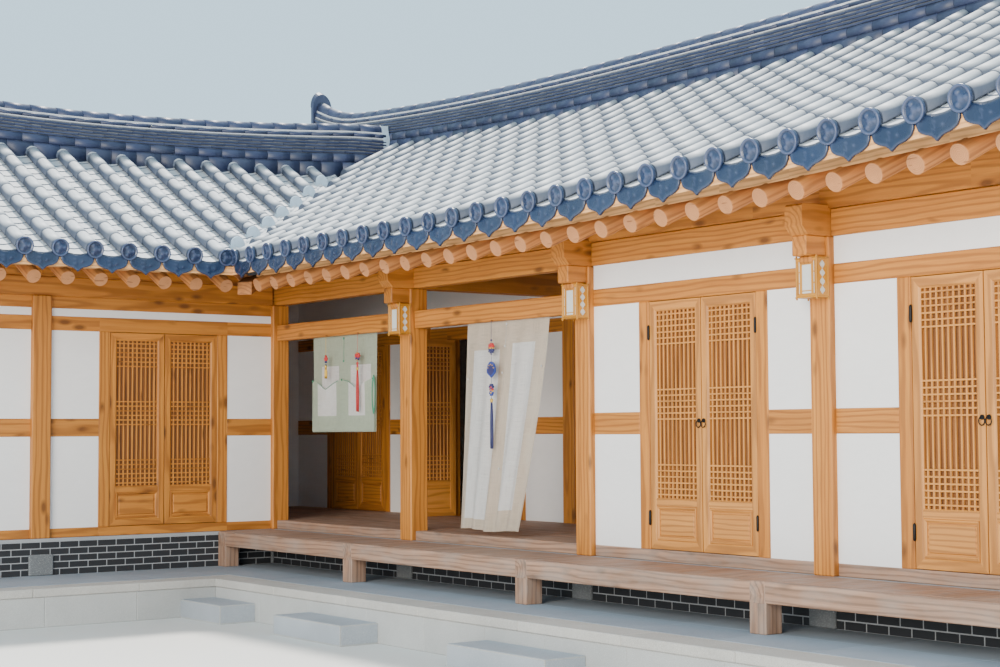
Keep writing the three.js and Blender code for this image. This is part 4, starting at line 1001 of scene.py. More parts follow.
def valley_tiles():
    """The gutter of small tiles down each valley, with lime along both its edges."""
    piece = Joined()
    slope = SLOPES["front"]
    gutter = [(-120, 62), (-60, 34), (0, 24), (60, 34), (120, 62), (120, 44), (60, 16), (0, 4), (-60, 16),
              (-120, 44)]
    length = math.hypot(1, STEEPER)
    for side, far in ((1, WING_RUN), (-1, 1930)):
        def place(along, w, h, side=side):
            x = WING_MIDDLE + side * along
            y = -EAVE + STEEPER * (WING_RUN - along)
            return stack(x + side * w * STEEPER / length, y + w / length,
                         slope.bed(np.asarray(x, float), y + EAVE) + h + 6)
        spans = [(a, a + 118) for a in np.arange(60.0, far - 60, 98.0)]
        prisms(piece, gutter, spans, place, tone=(0.4, 0.8))
        spans = [(a, a + 92) for a in np.arange(70.0, far - 70, 92.0)]
        for w in (-128, 118):
            lime = [(w - 22, 34), (w - 16, 66), (w + 4, 76), (w + 24, 62), (w + 28, 30)]
            prisms(piece, lime, spans, place, slot=1, smooth=True)
    return piece


# Rafters and the timbers under the roof

RAFTER = {"pitch": 337.5, "phase": -84.4, "end": 212, "flat": 66, "ridge_gap": 35}
BOARD_LENGTH = 675.0
SOFFIT_BOARD = 182
EAVE_BOARDS = (
    [(272, -226), (332, -226), (332, -95), (272, -95)],
    [(-6, -104), (-1, -104), (-1, -20), (-6, -20)],
)


def rafter_stations(low, high, phase):
    first = math.ceil((low - phase) / RAFTER["pitch"])
    last = math.floor((high - phase) / RAFTER["pitch"])
    return phase + np.arange(first, last + 1) * RAFTER["pitch"]


def log_axis(slope, s, d):
    """Height of a log's middle at d: it lies against the underside of the bed."""
    tilt = np.arctan(slope.under(s, 1.0) - slope.under(s, 0.0))
    rise = slope.under(s + 1, d) - slope.under(s, d)
    twist = np.abs((slope.under(s + 1, MAIN_RUN) - slope.under(s, MAIN_RUN))
                   - (slope.under(s + 1, 0.0) - slope.under(s, 0.0))) * RAFTER["pitch"]
    deep = RAFTER["flat"] * np.sqrt(1 + np.tan(tilt) ** 2 + rise ** 2)
    return slope.under(s, d) - 0.3 - 0.1 * twist - deep


def logs(piece, near, far, radius, around=18):
    """Round logs from near to far points, each with a slightly worn rim round its sawn end."""
    axis = far - near
    length = np.linalg.norm(axis, axis=1, keepdims=True)
    axis = axis / length
    side = np.cross(axis, np.array([0, 0, 1.0]))
    side /= np.linalg.norm(side, axis=1, keepdims=True)
    up = np.cross(side, axis)
    angle = turn_angles(around)
    reach = side[:, None] * np.cos(angle)[None, :, None] + up[:, None] * np.sin(angle)[None, :, None]
    rings, grains = [], []
    rim = 5.0
    for centre, along, size in ((near, length * 0, 0.94), (near + axis * rim, length * 0 + rim, 1.0),
                                (far, length, 1.0)):
        rings.append(centre[:, None] + reach * radius * size)
        grains.append(stack(along, radius * size * np.cos(angle)[None], radius * size * np.sin(angle)[None]))
    caps = [list(range(around)), list(range(2 * around, 3 * around))[::-1]]
    faces = Faces(tube_quads(3, around, inward=True), 0, True).plus(Faces(caps, 1))
    piece.add(np.concatenate(rings, axis=1), faces, np.concatenate(grains, axis=1), (0.25, 0.75))


def rafter_set(slope, stations, gap):
    """Logs, the soffit boards on them, and the boards along the eave."""
    piece = Joined()
    start = slope.valley(stations)
    near_d = np.where(start > 60, start + gap, RAFTER["end"])
    keep = near_d < slope.run - 400
    stations, near_d = stations[keep], near_d[keep]
    far_d = np.full_like(near_d, slope.run - RAFTER["ridge_gap"])
    near = slope.place(stations, near_d, log_axis(slope, stations, near_d))
    far = slope.place(stations, far_d, log_axis(slope, stations, far_d))
    logs(piece, near, far, bpy.context.scene.house_sizes.log_radius * 1000)

    start, end = slope.eave
    spans = [(a, min(a + BOARD_LENGTH, end - 2)) for a in np.arange(start + 2, end - 20, BOARD_LENGTH)]
    for section in EAVE_BOARDS:
        prisms(piece, section, spans, slope.on, slot=2, tone=(0.5, 0.6))

    def under(along, w, h):
        return slope.place(along, w, slope.under(along, w) + h)
    lengths = [(a, min(a + 2 * BOARD_LENGTH, slope.high - 2))
               for a in np.arange(slope.low + 2, slope.high - 60, 2 * BOARD_LENGTH)]
    for d in np.arange(336.0, slope.run - 60, SOFFIT_BOARD):
        edge = d + SOFFIT_BOARD - 3
        strip = [(d, -1.0), (edge, -1.0), (edge, -4.0), (d, -4.0)]
        runs = [(a, b) for a, b in lengths if max(slope.valley(a), slope.valley(b)) <= d + 200]
        if runs:
            prisms(piece, strip, runs, under, tone=(0.2, 0.6))
    return piece


def log_foot(slope, s, d):
    """The lowest line of the logs at d, where a purlin carries them."""
    return 2 * log_axis(slope, s, d) - slope.under(s, d)


def purlin(piece, slope, low, high, near, far, bottom):
    """A purlin under the logs, in lengths that meet over the columns."""
    columns = [-WING_LENGTH / 2] if slope.run == WING_RUN else LINES
    joints = [low, *(x for x in columns if low + 300 < x < high - 300), high]
    depths = np.array([near, far, far, near])
    for a, b in pairs(joints):
        rings, grains = [], []
        for s, clear in zip(np.linspace(a, b, 5), (1.5, 0, 0, 0, -1.5)):
            tops = [float(log_foot(slope, s, d)) + 2 for d in (far, near)]
            heights = np.array([bottom, bottom, *tops])
            rings.append(slope.place(np.full(4, s + clear), depths, heights))
            grains.append(stack(np.full(4, s - a), depths - (near + far) / 2, heights - bottom - 150))
        for n in range(4):
            points = np.concatenate(rings[n:n + 2])
            piece.add(points[None], prism_faces(points), np.concatenate(grains[n:n + 2])[None], (0.45, 0.55))


RIDGE_PURLIN_HALF = 90


def ridge_purlin(piece, stations, top, place):
    """A ridge purlin with a level underside and a top that follows the curve of the roof."""
    half = RIDGE_PURLIN_HALF
    section = [(-half, -1), (half, -1), (half, 0), (-half, 0)]
    bottom = min(float(top(s)) for s in stations) - RIDGE_PURLIN_DEPTH

    def lie(along, w, h):
        return place(along, w, np.where(h < 0, bottom, top(along)))
    prisms(piece, section, pairs(stations), lie, tone=(0.45, 0.55))


def gable_infill(piece, x0, x1, y0, y1, top):
    """Plaster beside a purlin, with a top that slopes with the roof; top(x, y) gives its height."""
    corners = [(x0, y0), (x1, y0), (x1, y1), (x0, y1)]
    low = [(x, y, GABLE_FOOT) for x, y in corners]
    points = np.array(low + [(x, y, top(x, y)) for x, y in corners], float)
    piece.add(points[None], prism_faces(points), (points - points.mean(axis=0))[None], (0.4, 0.6))


# Walls

def wall_box(wall, a0, a1, o0, o1, z0, z1):
    """A box on a wall: along it, out from its centre line, and up."""
    near, far = sorted((wall["at"] + wall["out"] * o0, wall["at"] + wall["out"] * o1))
    return (a0, a1, near, far, z0, z1) if wall["along"] == "x" else (near, far, a0, a1, z0, z1)


def doorway(start):
    return {"from": start, "to": start + DOORWAY, "bottom": FLOOR_TOP, "top": LINTEL[0]}


def window(centre):
    return {"from": centre - WINDOW_HALF, "to": centre + WINDOW_HALF, "bottom": MID_RAIL[1], "top": WINDOW_TOP}


def bay_middles(lines):
    return [(a + b) / 2 for a, b in pairs(lines)]


WING_LINES = [-WING_LENGTH, -WING_LENGTH / 2, 0]
ROOM_MIDDLE = 3500
SIDE_START = 97.8
OUTER_WALLS = [
    {"along": "x", "at": DEPTH, "out": 1, "from": LEFT_FACE, "to": RIGHT_FACE, "posts": LINES,
     "openings": [window(c) for c in bay_middles(LINES)]},
    {"along": "y", "at": 0, "out": -1, "from": WING_FACE, "to": BACK_FACE,
     "posts": [*WING_LINES, HALL_DEPTH, DEPTH],
     "openings": [window(c) for c in (*bay_middles(WING_LINES), ROOM_MIDDLE)]},
    {"along": "x", "at": -WING_LENGTH, "out": -1, "from": LEFT_FACE, "to": COURT_FACE,
     "posts": [0, WING_WIDTH], "openings": [window(WING_MIDDLE)]},
    {"along": "y", "at": LINES[-1], "out": 1, "from": SIDE_START, "to": BACK_FACE,
     "posts": [HALL_DEPTH, DEPTH], "openings": [window(ROOM_MIDDLE)]},
]
COURT_WALL = {"along": "y", "at": WING_WIDTH, "out": 1, "from": -5302.2, "to": -SIDE_START,
              "posts": [-WING_LENGTH / 2],
              "openings": [doorway(c - DOORWAY / 2) for c in bay_middles(WING_LINES)]}
HALL_DOOR = 3560
HALL_LEAF_FACE = 1947.5
HALL_WALLS = [
    {"along": "x", "at": HALL_DEPTH, "out": -1, "from": 48, "to": 8397.5, "posts": LINES[1:4],
     "openings": [doorway(900), {**doorway(HALL_DOOR), "leaves": [1]}, doorway(5918)]},
    {"along": "y", "at": LINES[3], "out": -1, "from": SIDE_START, "to": 2047.5, "posts": [], "openings": []},
]
CORNER_POSTS = [(0, DEPTH), (0, -WING_LENGTH), (WING_WIDTH, -WING_LENGTH), (LINES[-1], DEPTH)]
JAMB = 120
TOP_RAIL_FOOT = 3011


def clear_lengths(start, end, openings, z0, z1):
    """Parts of a rail that no opening cuts."""
    side = JAMB - 2
    cuts = sorted((o["from"] - side, o["to"] + side) for o in openings if o["bottom"] < z1 and o["top"] > z0)
    lengths = []
    for a, b in cuts:
        lengths.append((start, a))
        start = b
    return [(a, b) for a, b in [*lengths, (start, end)] if b - a > 20]


def wall_timbers(piece, wall, full_height=PLATE_BOTTOM):
    """Rails between the posts, the posts, and the jambs, head and sill of each opening."""
    level = 0 if wall["along"] == "x" else 1
    stops = sorted({wall["from"], wall["to"], *wall["posts"]})
    for z0, z1 in ((RAIL_FOOT, FLOOR_TOP), MID_RAIL, LINTEL, (TOP_RAIL_FOOT, full_height)):
        for a, b in pairs(stops):
            for c, d in clear_lengths(a, b, [o for o in wall["openings"] if a <= o["from"] < b], z0, z1):
                bars(piece, [wall_box(wall, c, d, CORE_FACE, RAIL_FACE, z0, z1)], level, 5)
    for p in wall["posts"]:
        if ((p, wall["at"]) if level == 0 else (wall["at"], p)) in CORNER_POSTS:
            continue
        a, b = max(p - HALF_POST, wall["from"]), min(p + HALF_POST, wall["to"])
        bars(piece, [wall_box(wall, a, b, CORE_FACE, HALF_POST, RAIL_FOOT, POST_TOP)], 2, 7)
    for o in wall["openings"]:
        left, right, foot, head = o["from"], o["to"], o["bottom"], o["top"]
        low = RAIL_FOOT if foot == FLOOR_TOP else foot - 90
        high = min(head + 144, LINTEL[1])
        start, end = left - JAMB, right + JAMB
        for a, b in ((start, left), (right, end)):
            box = wall_box(wall, a, b, -RAIL_FACE, RAIL_FACE + 1, max(low, FLOOR_TOP), head + 2)
            bars(piece, [box], 2, 5)
        for z0, z1 in ((head, high), (low, foot)):
            bars(piece, [wall_box(wall, start - 1, end + 1, -RAIL_FACE, RAIL_FACE + 1.5, z0, z1)], level, 5)


# Lattice leaves are drawn in their own frame: u across from the hinge edge, v back from the front face, w up.
# lay turns that into plan millimetres

def leaf_bars(piece, boxes, lay, along, bevel=2.0, slot=0):
    """Bevelled boxes (u0, u1, v0, v1, w0, w1) of a leaf, with the grain along one of its axes."""
    placed = []
    for u0, u1, v0, v1, w0, w1 in boxes:
        ends = lay(np.array([[u0, v0, w0], [u1, v1, w1]], float))
        placed.append([*ends[:, 0], *ends[:, 1], *ends[:, 2]])
    axis = int(np.argmax(np.abs(turn_of(lay)[along])))
    bars(piece, placed, axis, bevel, slot, (0.45, 0.6))


def turn_of(lay):
    """The three directions that lay turns u, v and w into."""
    return lay(np.eye(3)) - lay(np.zeros((3, 3)))


def leaf_frame(piece, lay, rectangle, sides, thick, lip):
    """Mitred frame with a sloping inner edge. sides gives its widths left, right, bottom and top."""
    u0, u1, w0, w1 = rectangle
    left, right, bottom, top = sides
    members = (
        (2, (u0, w0), (u0, w1), left, (1, 0), (bottom, top)),
        (2, (u1, w0), (u1, w1), right, (-1, 0), (bottom, top)),
        (0, (u0, w0), (u1, w0), bottom, (0, 1), (left, right)),
        (0, (u0, w1), (u1, w1), top, (0, -1), (left, right)),
    )
    for along, start, end, width, inward, ends in members:
        section = [(0, 1.5), (1.5, 0), (width - lip, 0), (width, lip * 0.75), (width, thick), (0, thick)]
        corners = []
        for (u, w), mitre, sign in ((start, ends[0], 1), (end, ends[1], -1)):
            for offset, depth in section:
                shift = sign * mitre * offset / width
                corners.append((u + inward[0] * offset + (shift if along == 0 else 0), depth,
                                w + inward[1] * offset + (shift if along == 2 else 0)))
        local = np.array(corners, float)
        points = lay(local)
        grain = local[:, [2, 0, 1]] if along == 2 else local[:, [0, 2, 1]]
        grain = grain - grain.mean(axis=0) * np.array([0, 1, 1])
        piece.add(points[None], prism_faces(points), grain[None], (0.4, 0.6))


LATTICE_COLUMNS = 10
LATTICE_GROUP = 6
LATTICE_WIDTH = 473.5
LATTICE_PITCH = 47.0


def lattice(piece, lay, u0, u1, w0, w1, groups, back, both=False):
    """Upright bars with groups of cross bars, on a backing coloured dark as painted shade, or on both sides of
    it.
    """
    layers = ((5, 20), (25, 40)) if both else ((9, 27),)
    bar = bpy.context.scene.house_sizes.lattice_bar * 1000
    columns = max(3, round(LATTICE_COLUMNS * (u1 - u0) / LATTICE_WIDTH))
    gap = (u1 - u0) / (columns + 0.35)
    uprights = [u0 + gap * (n + 0.67) for n in range(columns)]
    leaf_bars(piece, [(u - bar / 2, u + bar / 2, a, b, w0 - 2, w1 + 2) for u in uprights for a, b in layers],
              lay, 2)
    pitch = min(LATTICE_PITCH, (w1 - w0) / (groups * LATTICE_GROUP + 2))
    crossings = []
    for group in range(groups):
        t = group / (groups - 1)
        middle = w0 + 4 + pitch * LATTICE_GROUP / 2 + t * (w1 - w0 - 8 - pitch * LATTICE_GROUP)
        crossings += [middle + pitch * (n - (LATTICE_GROUP - 1) / 2) for n in range(LATTICE_GROUP)]
    leaf_bars(piece, [(u0 - 2, u1 + 2, a - 1, b + (1 if a > 20 else -3), w - bar / 2, w + bar / 2)
                      for w in crossings for a, b in layers], lay, 0)
    # The backing sheet, dark as painted shade behind the bars
    sheet = (20, 25) if both else (back - 6, back)
    leaf_bars(piece, [(u0 - 3, u1 + 3, *sheet, w0 - 3, w1 + 3)], lay, 2, slot=1)


STILE = 74
LEAF_RAILS = (78, 80)
MIDDLE_RAIL = (332, 404)
SASH_STILE = 52


def door_leaf(piece, lay, both=False):
    """A tall leaf: lattice over a raised panel, in a mitred frame."""
    u0, u1, w0, w1 = STILE, LEAF_WIDTH - STILE, LEAF_RAILS[0], MIDDLE_RAIL[0]
    leaf_frame(piece, lay, (0, LEAF_WIDTH, 0, LEAF_TALL), (STILE, STILE, *LEAF_RAILS), 45, 16)
    leaf_bars(piece, [(u0 - 18, u1 + 18, 2, 43, *MIDDLE_RAIL)], lay, 0, 9)
    lattice(piece, lay, u0, u1, MIDDLE_RAIL[1], LEAF_TALL - LEAF_RAILS[1], 3, 40, both)
    leaf_frame(piece, lay, (u0 - 4, u1 + 4, w0 - 4, w1 + 4), (22, 22, 22, 22), 30, 12)
    leaf_bars(piece, [(u0, u1, 16, 36, w0, w1)], lay, 0, 1)
    leaf_bars(piece, [(u0 + 30, u1 - 30, 8, 34, w0 + 30, w1 - 30)], lay, 0, 7)


def window_sash(piece, lay, width, tall):
    """A small leaf, all lattice."""
    leaf_frame(piece, lay, (0, width, 0, tall), [SASH_STILE] * 4, 38, 12)
    lattice(piece, lay, SASH_STILE, width - SASH_STILE, SASH_STILE, tall - SASH_STILE, 2, 34)


def on_wall(wall, start, front, z):
    """lay for a leaf on a wall: u along the wall from start, v inwards from front."""
    def lay(points):
        u, v, w = points.T
        a = start + u
        o = wall["at"] + wall["out"] * (front - v)
        return stack(a, o, z + w) if wall["along"] == "x" else stack(o, a, z + w)
    return lay


def fixed_leaves(piece, wall):
    """The pairs of leaves and sashes that fill a wall's openings."""
    for o in wall["openings"]:
        middle = (o["from"] + o["to"]) / 2
        for n in o.get("leaves", [0, 1]):
            if o["bottom"] == FLOOR_TOP:
                start = o["from"] + 5 if n == 0 else middle + 5
                door_leaf(piece, on_wall(wall, start, RAIL_FACE - 5, LEAF_BOTTOM))
            else:
                start = o["from"] + 3 if n == 0 else middle + 1
                lay = on_wall(wall, start, RAIL_FACE - 9, o["bottom"] + 3)
                window_sash(piece, lay, WINDOW_HALF - 4, o["top"] - o["bottom"] - 6)


BAYS = {"bay_b": (8497.8, 11002.2, 9192.5), "bay_a": (11197.8, 13702.2, 11892.5)}
DOOR_FRONT = -42.5
LEAF_INSET = 5.0


def hung_lay(x, side, y):
    """lay for a leaf that hangs in the facade, drawn from its hinge edge towards side."""
    return lambda points: stack(x + side * points[:, 0], y + points[:, 1], LEAF_BOTTOM + points[:, 2])


def open_lay(x, y):
    """lay for the hall's leaf, which stands open at right angles to its wall."""
    return lambda points: stack(x + points[:, 1], y - points[:, 0], LEAF_BOTTOM + points[:, 2])


def capsule(radius, tall, around=12):
    """A rounded upright barrel about the origin, ring by ring."""
    outline = ((-0.5, 0.0), (-0.49, 0.45), (-0.45, 0.8), (-0.38, 1.0), (0.38, 1.0), (0.45, 0.8), (0.49, 0.45),
               (0.5, 0.0))
    points = [(radius * r * math.cos(a), radius * r * math.sin(a), z * tall)
              for z, r in outline for a in turn_angles(around)]
    return np.array(points, float), Faces(tube_quads(len(outline), around), 0, True)


def ring_template(radius, wire, around=20, section=8):
    """A wire ring in the u-w plane about the origin."""
    points = []
    for a in turn_angles(around):
        for b in turn_angles(section):
            r = radius + wire * math.cos(b)
            points.append((r * math.cos(a), wire * math.sin(b), r * math.sin(a)))
    quads = np.array(tube_quads(around + 1, section)) % len(points)
    return np.array(points, float), Faces(quads, 0, True)


HINGE_AXIS = (-2.5, -7.5)
HINGE_LEVELS = (245, 1725)
PULL_EDGE = LEAF_WIDTH - 22
PULL_LEVELS = (1015, 990)


def iron_piece(node, lay):
    """Barrel hinges on the hung edge of a leaf and a ring pull on its meeting edge."""
    piece = Joined()
    mirrored = np.linalg.det(turn_of(lay)) < 0

    def fit(points, faces, place, turn):
        piece.add(lay(points + np.array(place))[None], turned(faces) if turn else faces)
    barrel, faces = capsule(11.5, 122)
    for level in HINGE_LEVELS:
        fit(barrel, faces, (*HINGE_AXIS, level), mirrored)
    boss, faces = capsule(17, 12)
    fit(boss[:, [0, 2, 1]], faces, (PULL_EDGE, -4.0, PULL_LEVELS[0]), not mirrored)
    wire, faces = ring_template(24, 3.6)
    fit(wire * np.array([1, 1, 1.15]), faces, (PULL_EDGE, -11.0, PULL_LEVELS[1]), not mirrored)
    piece.build(f"{node}_iron", ["iron"], "timber", body=node)


# Small round things for lanterns and ornaments

def balls(piece, centres, radii, squash=1.0, slot=0, around=12, rows=7):
    """Round beads. squash is how tall they are for their width."""
    points = []
    for n in range(rows + 1):
        p = math.pi * n / rows
        for a in turn_angles(around):
            points.append((math.sin(p) * math.cos(a), math.sin(p) * math.sin(a), math.cos(p) * squash))
    unit = np.array(points)[None]
    centres = np.asarray(centres, float)[:, None]
    radii = np.asarray(radii, float)[:, None, None]
    piece.add(centres + unit * radii, Faces(tube_quads(rows + 1, around, inward=True), slot, True))


def upright_tube(path, radius, around=8):
    """A tube round an upright path of points, as (points, faces)."""
    path = np.asarray(path, float)
    angle = turn_angles(around)
    rings = [p + np.stack([radius * np.cos(angle), radius * np.sin(angle), angle * 0], -1) for p in path]
    polygons = tube_quads(len(path), around, inward=True)
    polygons.append(list(range(around)))
    polygons.append(list(range((len(path) - 1) * around, len(path) * around))[::-1])
    return np.concatenate(rings), Faces(polygons, 0, True)


STRANDS = 26
STRAND_TURN = 2.399963
STRAND_SPREAD = (0.45, 0.8, 0.95, 1.0, 0.98, 0.9)


def tassel(piece, x, y, top, bottom, radius, slot):
    """A bundle of fine threads that narrows under its cap and hangs a little open."""
    for n in range(STRANDS):
        a = n * STRAND_TURN
        r = radius * math.sqrt((n + 0.5) / STRANDS)
        heights = np.linspace(top, bottom + CHANCE.uniform(0, 14), len(STRAND_SPREAD))
        path = [(x + math.cos(a) * r * k, y + math.sin(a) * r * k, z) for k, z in zip(STRAND_SPREAD, heights)]
        points, faces = upright_tube(path, radius * 0.2, 5)
        faces.slots[:] = slot
        piece.add(points[None], faces)


# Cloth

def cloth_grid(name, across, down, place, panels, paint, slot, replaces):
    """A thin sheet laid out on a grid. panels are (u0, u1, v0, v1) rectangles in the lighter cloth."""
    us = np.linspace(0, 1, across + 1)
    vs = np.linspace(0, 1, down + 1)
    u, v = (values.ravel() for values in np.meshgrid(us, vs))
    polygons, light = [], []
    for r in range(down):
        for c in range(across):
            a = r * (across + 1) + c
            middle = ((us[c] + us[c + 1]) / 2, (vs[r] + vs[r + 1]) / 2)
            polygons.append([a, a + across + 1, a + across + 2, a + 1])
            light.append(any(p[0] < middle[0] < p[1] and p[2] < middle[1] < p[3] for p in panels))
    faces = Faces(polygons, 0, True)
    faces.slots[:] = light
    piece = Joined()
    piece.add(place(u, v)[None], faces, np.stack([u * 1250, v * 1950, u * 0], -1)[None], (0.5, 0.5))
    return piece.build(name, paint, slot, replaces)


def pinned(place, spots, shift):
    """Points of a cloth at (u, v) spots, moved off it by shift."""
    return [place(np.array([u]), np.array([v]))[0] + np.array(shift) for u, v in spots]


# Operators

def done():
    return {"FINISHED"}


class PlasterAndCore(bpy.types.Operator):
    """Finish the walls, roof beds, stone platform and brick foundation that stay as the frame has them"""
    bl_idname = "house.plaster"
    bl_label = "Plaster and core"

    def execute(self, context):
        walls = ["outer_wall_plaster", "court_wall_plaster", "hall_wall_plaster"]
        walls += [f"{bay}_wall_{part}" for bay in BAYS for part in ("left", "right", "over_door")]
        repaint(walls, "plaster")
        repaint(["main_front_roof", "main_back_roof", "wing_court_roof", "wing_outer_roof"], "bed")
        repaint(["stone_platform"], "granite")
        repaint(["brick_foundation"], "mortar")
        return done()


STEP_STONES = ((4300, 5300), (6300, 7420), (8950, 10150))
STEP_DEPTH = 372
COPING_DEEP = 75
COPING_WIDE = 320
FACING_INSET = 15


def stone_row(piece, start, end, side0, side1, along, z0, z1, unit, bevel, slot, joint=4.0):
    """Stones of uneven length end to end, about unit long."""
    count = max(1, round((end - start) / unit))
    edges = np.linspace(start, end, count + 1)
    jitter = CHANCE.uniform(-0.12, 0.12, count - 1) * unit if count > 2 else np.zeros(count - 1)
    edges[1:-1] += jitter
    for a, b in pairs(edges):
        a, b = a + joint / 2, b - joint / 2
        box = (a, b, side0, side1, z0, z1) if along == 0 else (side0, side1, a, b, z0, z1)
        bars(piece, [box], along, bevel, slot, (0.2, 0.8))


class Stonework(bpy.types.Operator):
    """Coping, facing and paving of the platform, and the step stones"""
    bl_idname = "house.stonework"
    bl_label = "Stonework"

    def execute(self, context):
        piece = Joined()
        corner, wide, top, inset = 4508, COPING_WIDE, PLATFORM_TOP, FACING_INSET
        low_x, high_x, low_y, high_y, front = -800, 14200, -5800, 5800, -1508
        under = top - COPING_DEEP
        for a, b, s0, s1, along in (
                (corner, high_x, front, front + wide, 0), (low_x, corner, low_y, low_y + wide, 0),
                (low_x, high_x, high_y - wide, high_y, 0),
                (low_y + wide, front + wide, corner - wide, corner, 1),
                (low_y + wide, high_y - wide, low_x, low_x + wide, 1),
                (front + wide, high_y - wide, high_x - wide, high_x, 1)):
            stone_row(piece, a, b, s0, s1, along, under + 0.5, top, 1150, 6, 0, joint=3.0)
        for a, b, s, along, way in (
                (corner - inset, high_x - inset, front + inset, 0, -1),
                (low_x + inset, corner - inset, low_y + inset, 0, -1),
                (low_x + inset, high_x - inset, high_y - inset, 0, 1),
                (low_y + inset, front + inset, corner - inset, 1, 1),
                (low_y + inset, high_y - inset, low_x + inset, 1, -1),
                (front + inset, high_y - inset, high_x - inset, 1, 1)):
            sides = sorted((s - way * 30, s + way * 5))
            stone_row(piece, a, b, *sides, along, 0, under - 2, 900, 5, 1)
        face = front + inset + 3
        for x0, x1 in STEP_STONES:
            bars(piece, [(x0 - 2, x1 + 2, face - 3 - STEP_DEPTH, face, 0, 173)], 0, 14, 2, (0.3, 0.7))
        x0, x1, y0, y1 = low_x + wide + 2, high_x - wide - 2, low_y + wide + 2, high_y - wide - 2
        for a, b, s0, s1, along in (
                (3100, x1, -1186, -650, 0), (3100, x1, -648, -100, 0), (y0, -1188, 3100, 3640, 1),
                (y0, -1188, 3642, corner - wide - 2, 1), (x0, x1, 5100, y1, 0), (y0, 5098, x0, -100, 1),
                (-98, y1, 13900, x1, 1)):
            stone_row(piece, a, b, s0, s1, along, top - 4, top + 2.5, 905, 3, 3)
        stones = ["coping", "granite", "step", "paving"]
        piece.build("platform_stones", stones, "granite", ["platform_coping"])
        return done()


BRICK_JOINT = 10
SHORTEST_BRICK = 30
PAD_HALF = 126
PAD_TOP = 560
BRICK_SIDES = (
    (0, LEFT_FACE, RIGHT_FACE, FRONT_FACE, -1), (0, LEFT_FACE, RIGHT_FACE, BACK_FACE, 1),
    (1, WING_FACE, BACK_FACE, LEFT_FACE, -1), (1, FRONT_FACE, BACK_FACE, RIGHT_FACE, 1),
    (1, WING_FACE, FRONT_FACE, COURT_FACE, 1), (0, LEFT_FACE, COURT_FACE, WING_FACE, -1),
)


class Brickwork(bpy.types.Operator):
    """Black bricks of the base, with a base stone under each column"""
    bl_idname = "house.brickwork"
    bl_label = "Brickwork"

    def execute(self, context):
        sizes = context.scene.house_sizes
        length, tall = sizes.brick_length * 1000, sizes.brick_height * 1000
        piece = Joined()
        rows = int((PORCH_TOP - PLATFORM_TOP) / (tall + BRICK_JOINT))
        for along, low, high, face, way in BRICK_SIDES:
            near, far = sorted((face - way * 30, face + way * 4))
            boxes = []
            for n in range(rows):
                z = PLATFORM_TOP + 4 + n * (tall + BRICK_JOINT)
                start = low - (length + BRICK_JOINT) / 2 * (n % 2)
                for a in np.arange(start, high, length + BRICK_JOINT):
                    a, b = max(a, low), min(a + length, high)
                    if b - a >= SHORTEST_BRICK:
                        boxes.append((a, b, near, far, z, z + tall) if along == 0 else
                                     (near, far, a, b, z, z + tall))
            bars(piece, boxes, along, 3, 0, (0.1, 0.9))
        pads = [(x, 0) for x in LINES] + [(x, DEPTH) for x in LINES]
        pads += [(0, y) for y in (*WING_LINES[:2], HALL_DEPTH)] + [(WING_WIDTH, y) for y in WING_LINES[:2]]
        pads += [(LINES[-1], HALL_DEPTH)]
        blocks = [upright(x, y, PAD_HALF, PLATFORM_TOP + 0.5, PAD_TOP) for x, y in pads]
        bars(piece, blocks, 2, 12, 1, (0.2, 0.8))
        piece.build("base_bricks", ["brick", "pad"], "brick")
        return done()


HALL_BAYS = pairs(LINES[1:4])
ROOMS = ((48, 13752, 2048, 4952), (8448, 13752, 48, 2046), (48, 2952, -5352, -48))
# Numbers passed over after the hall's boards, so that every later shade stays as it was chosen
PASSED_OVER = 8


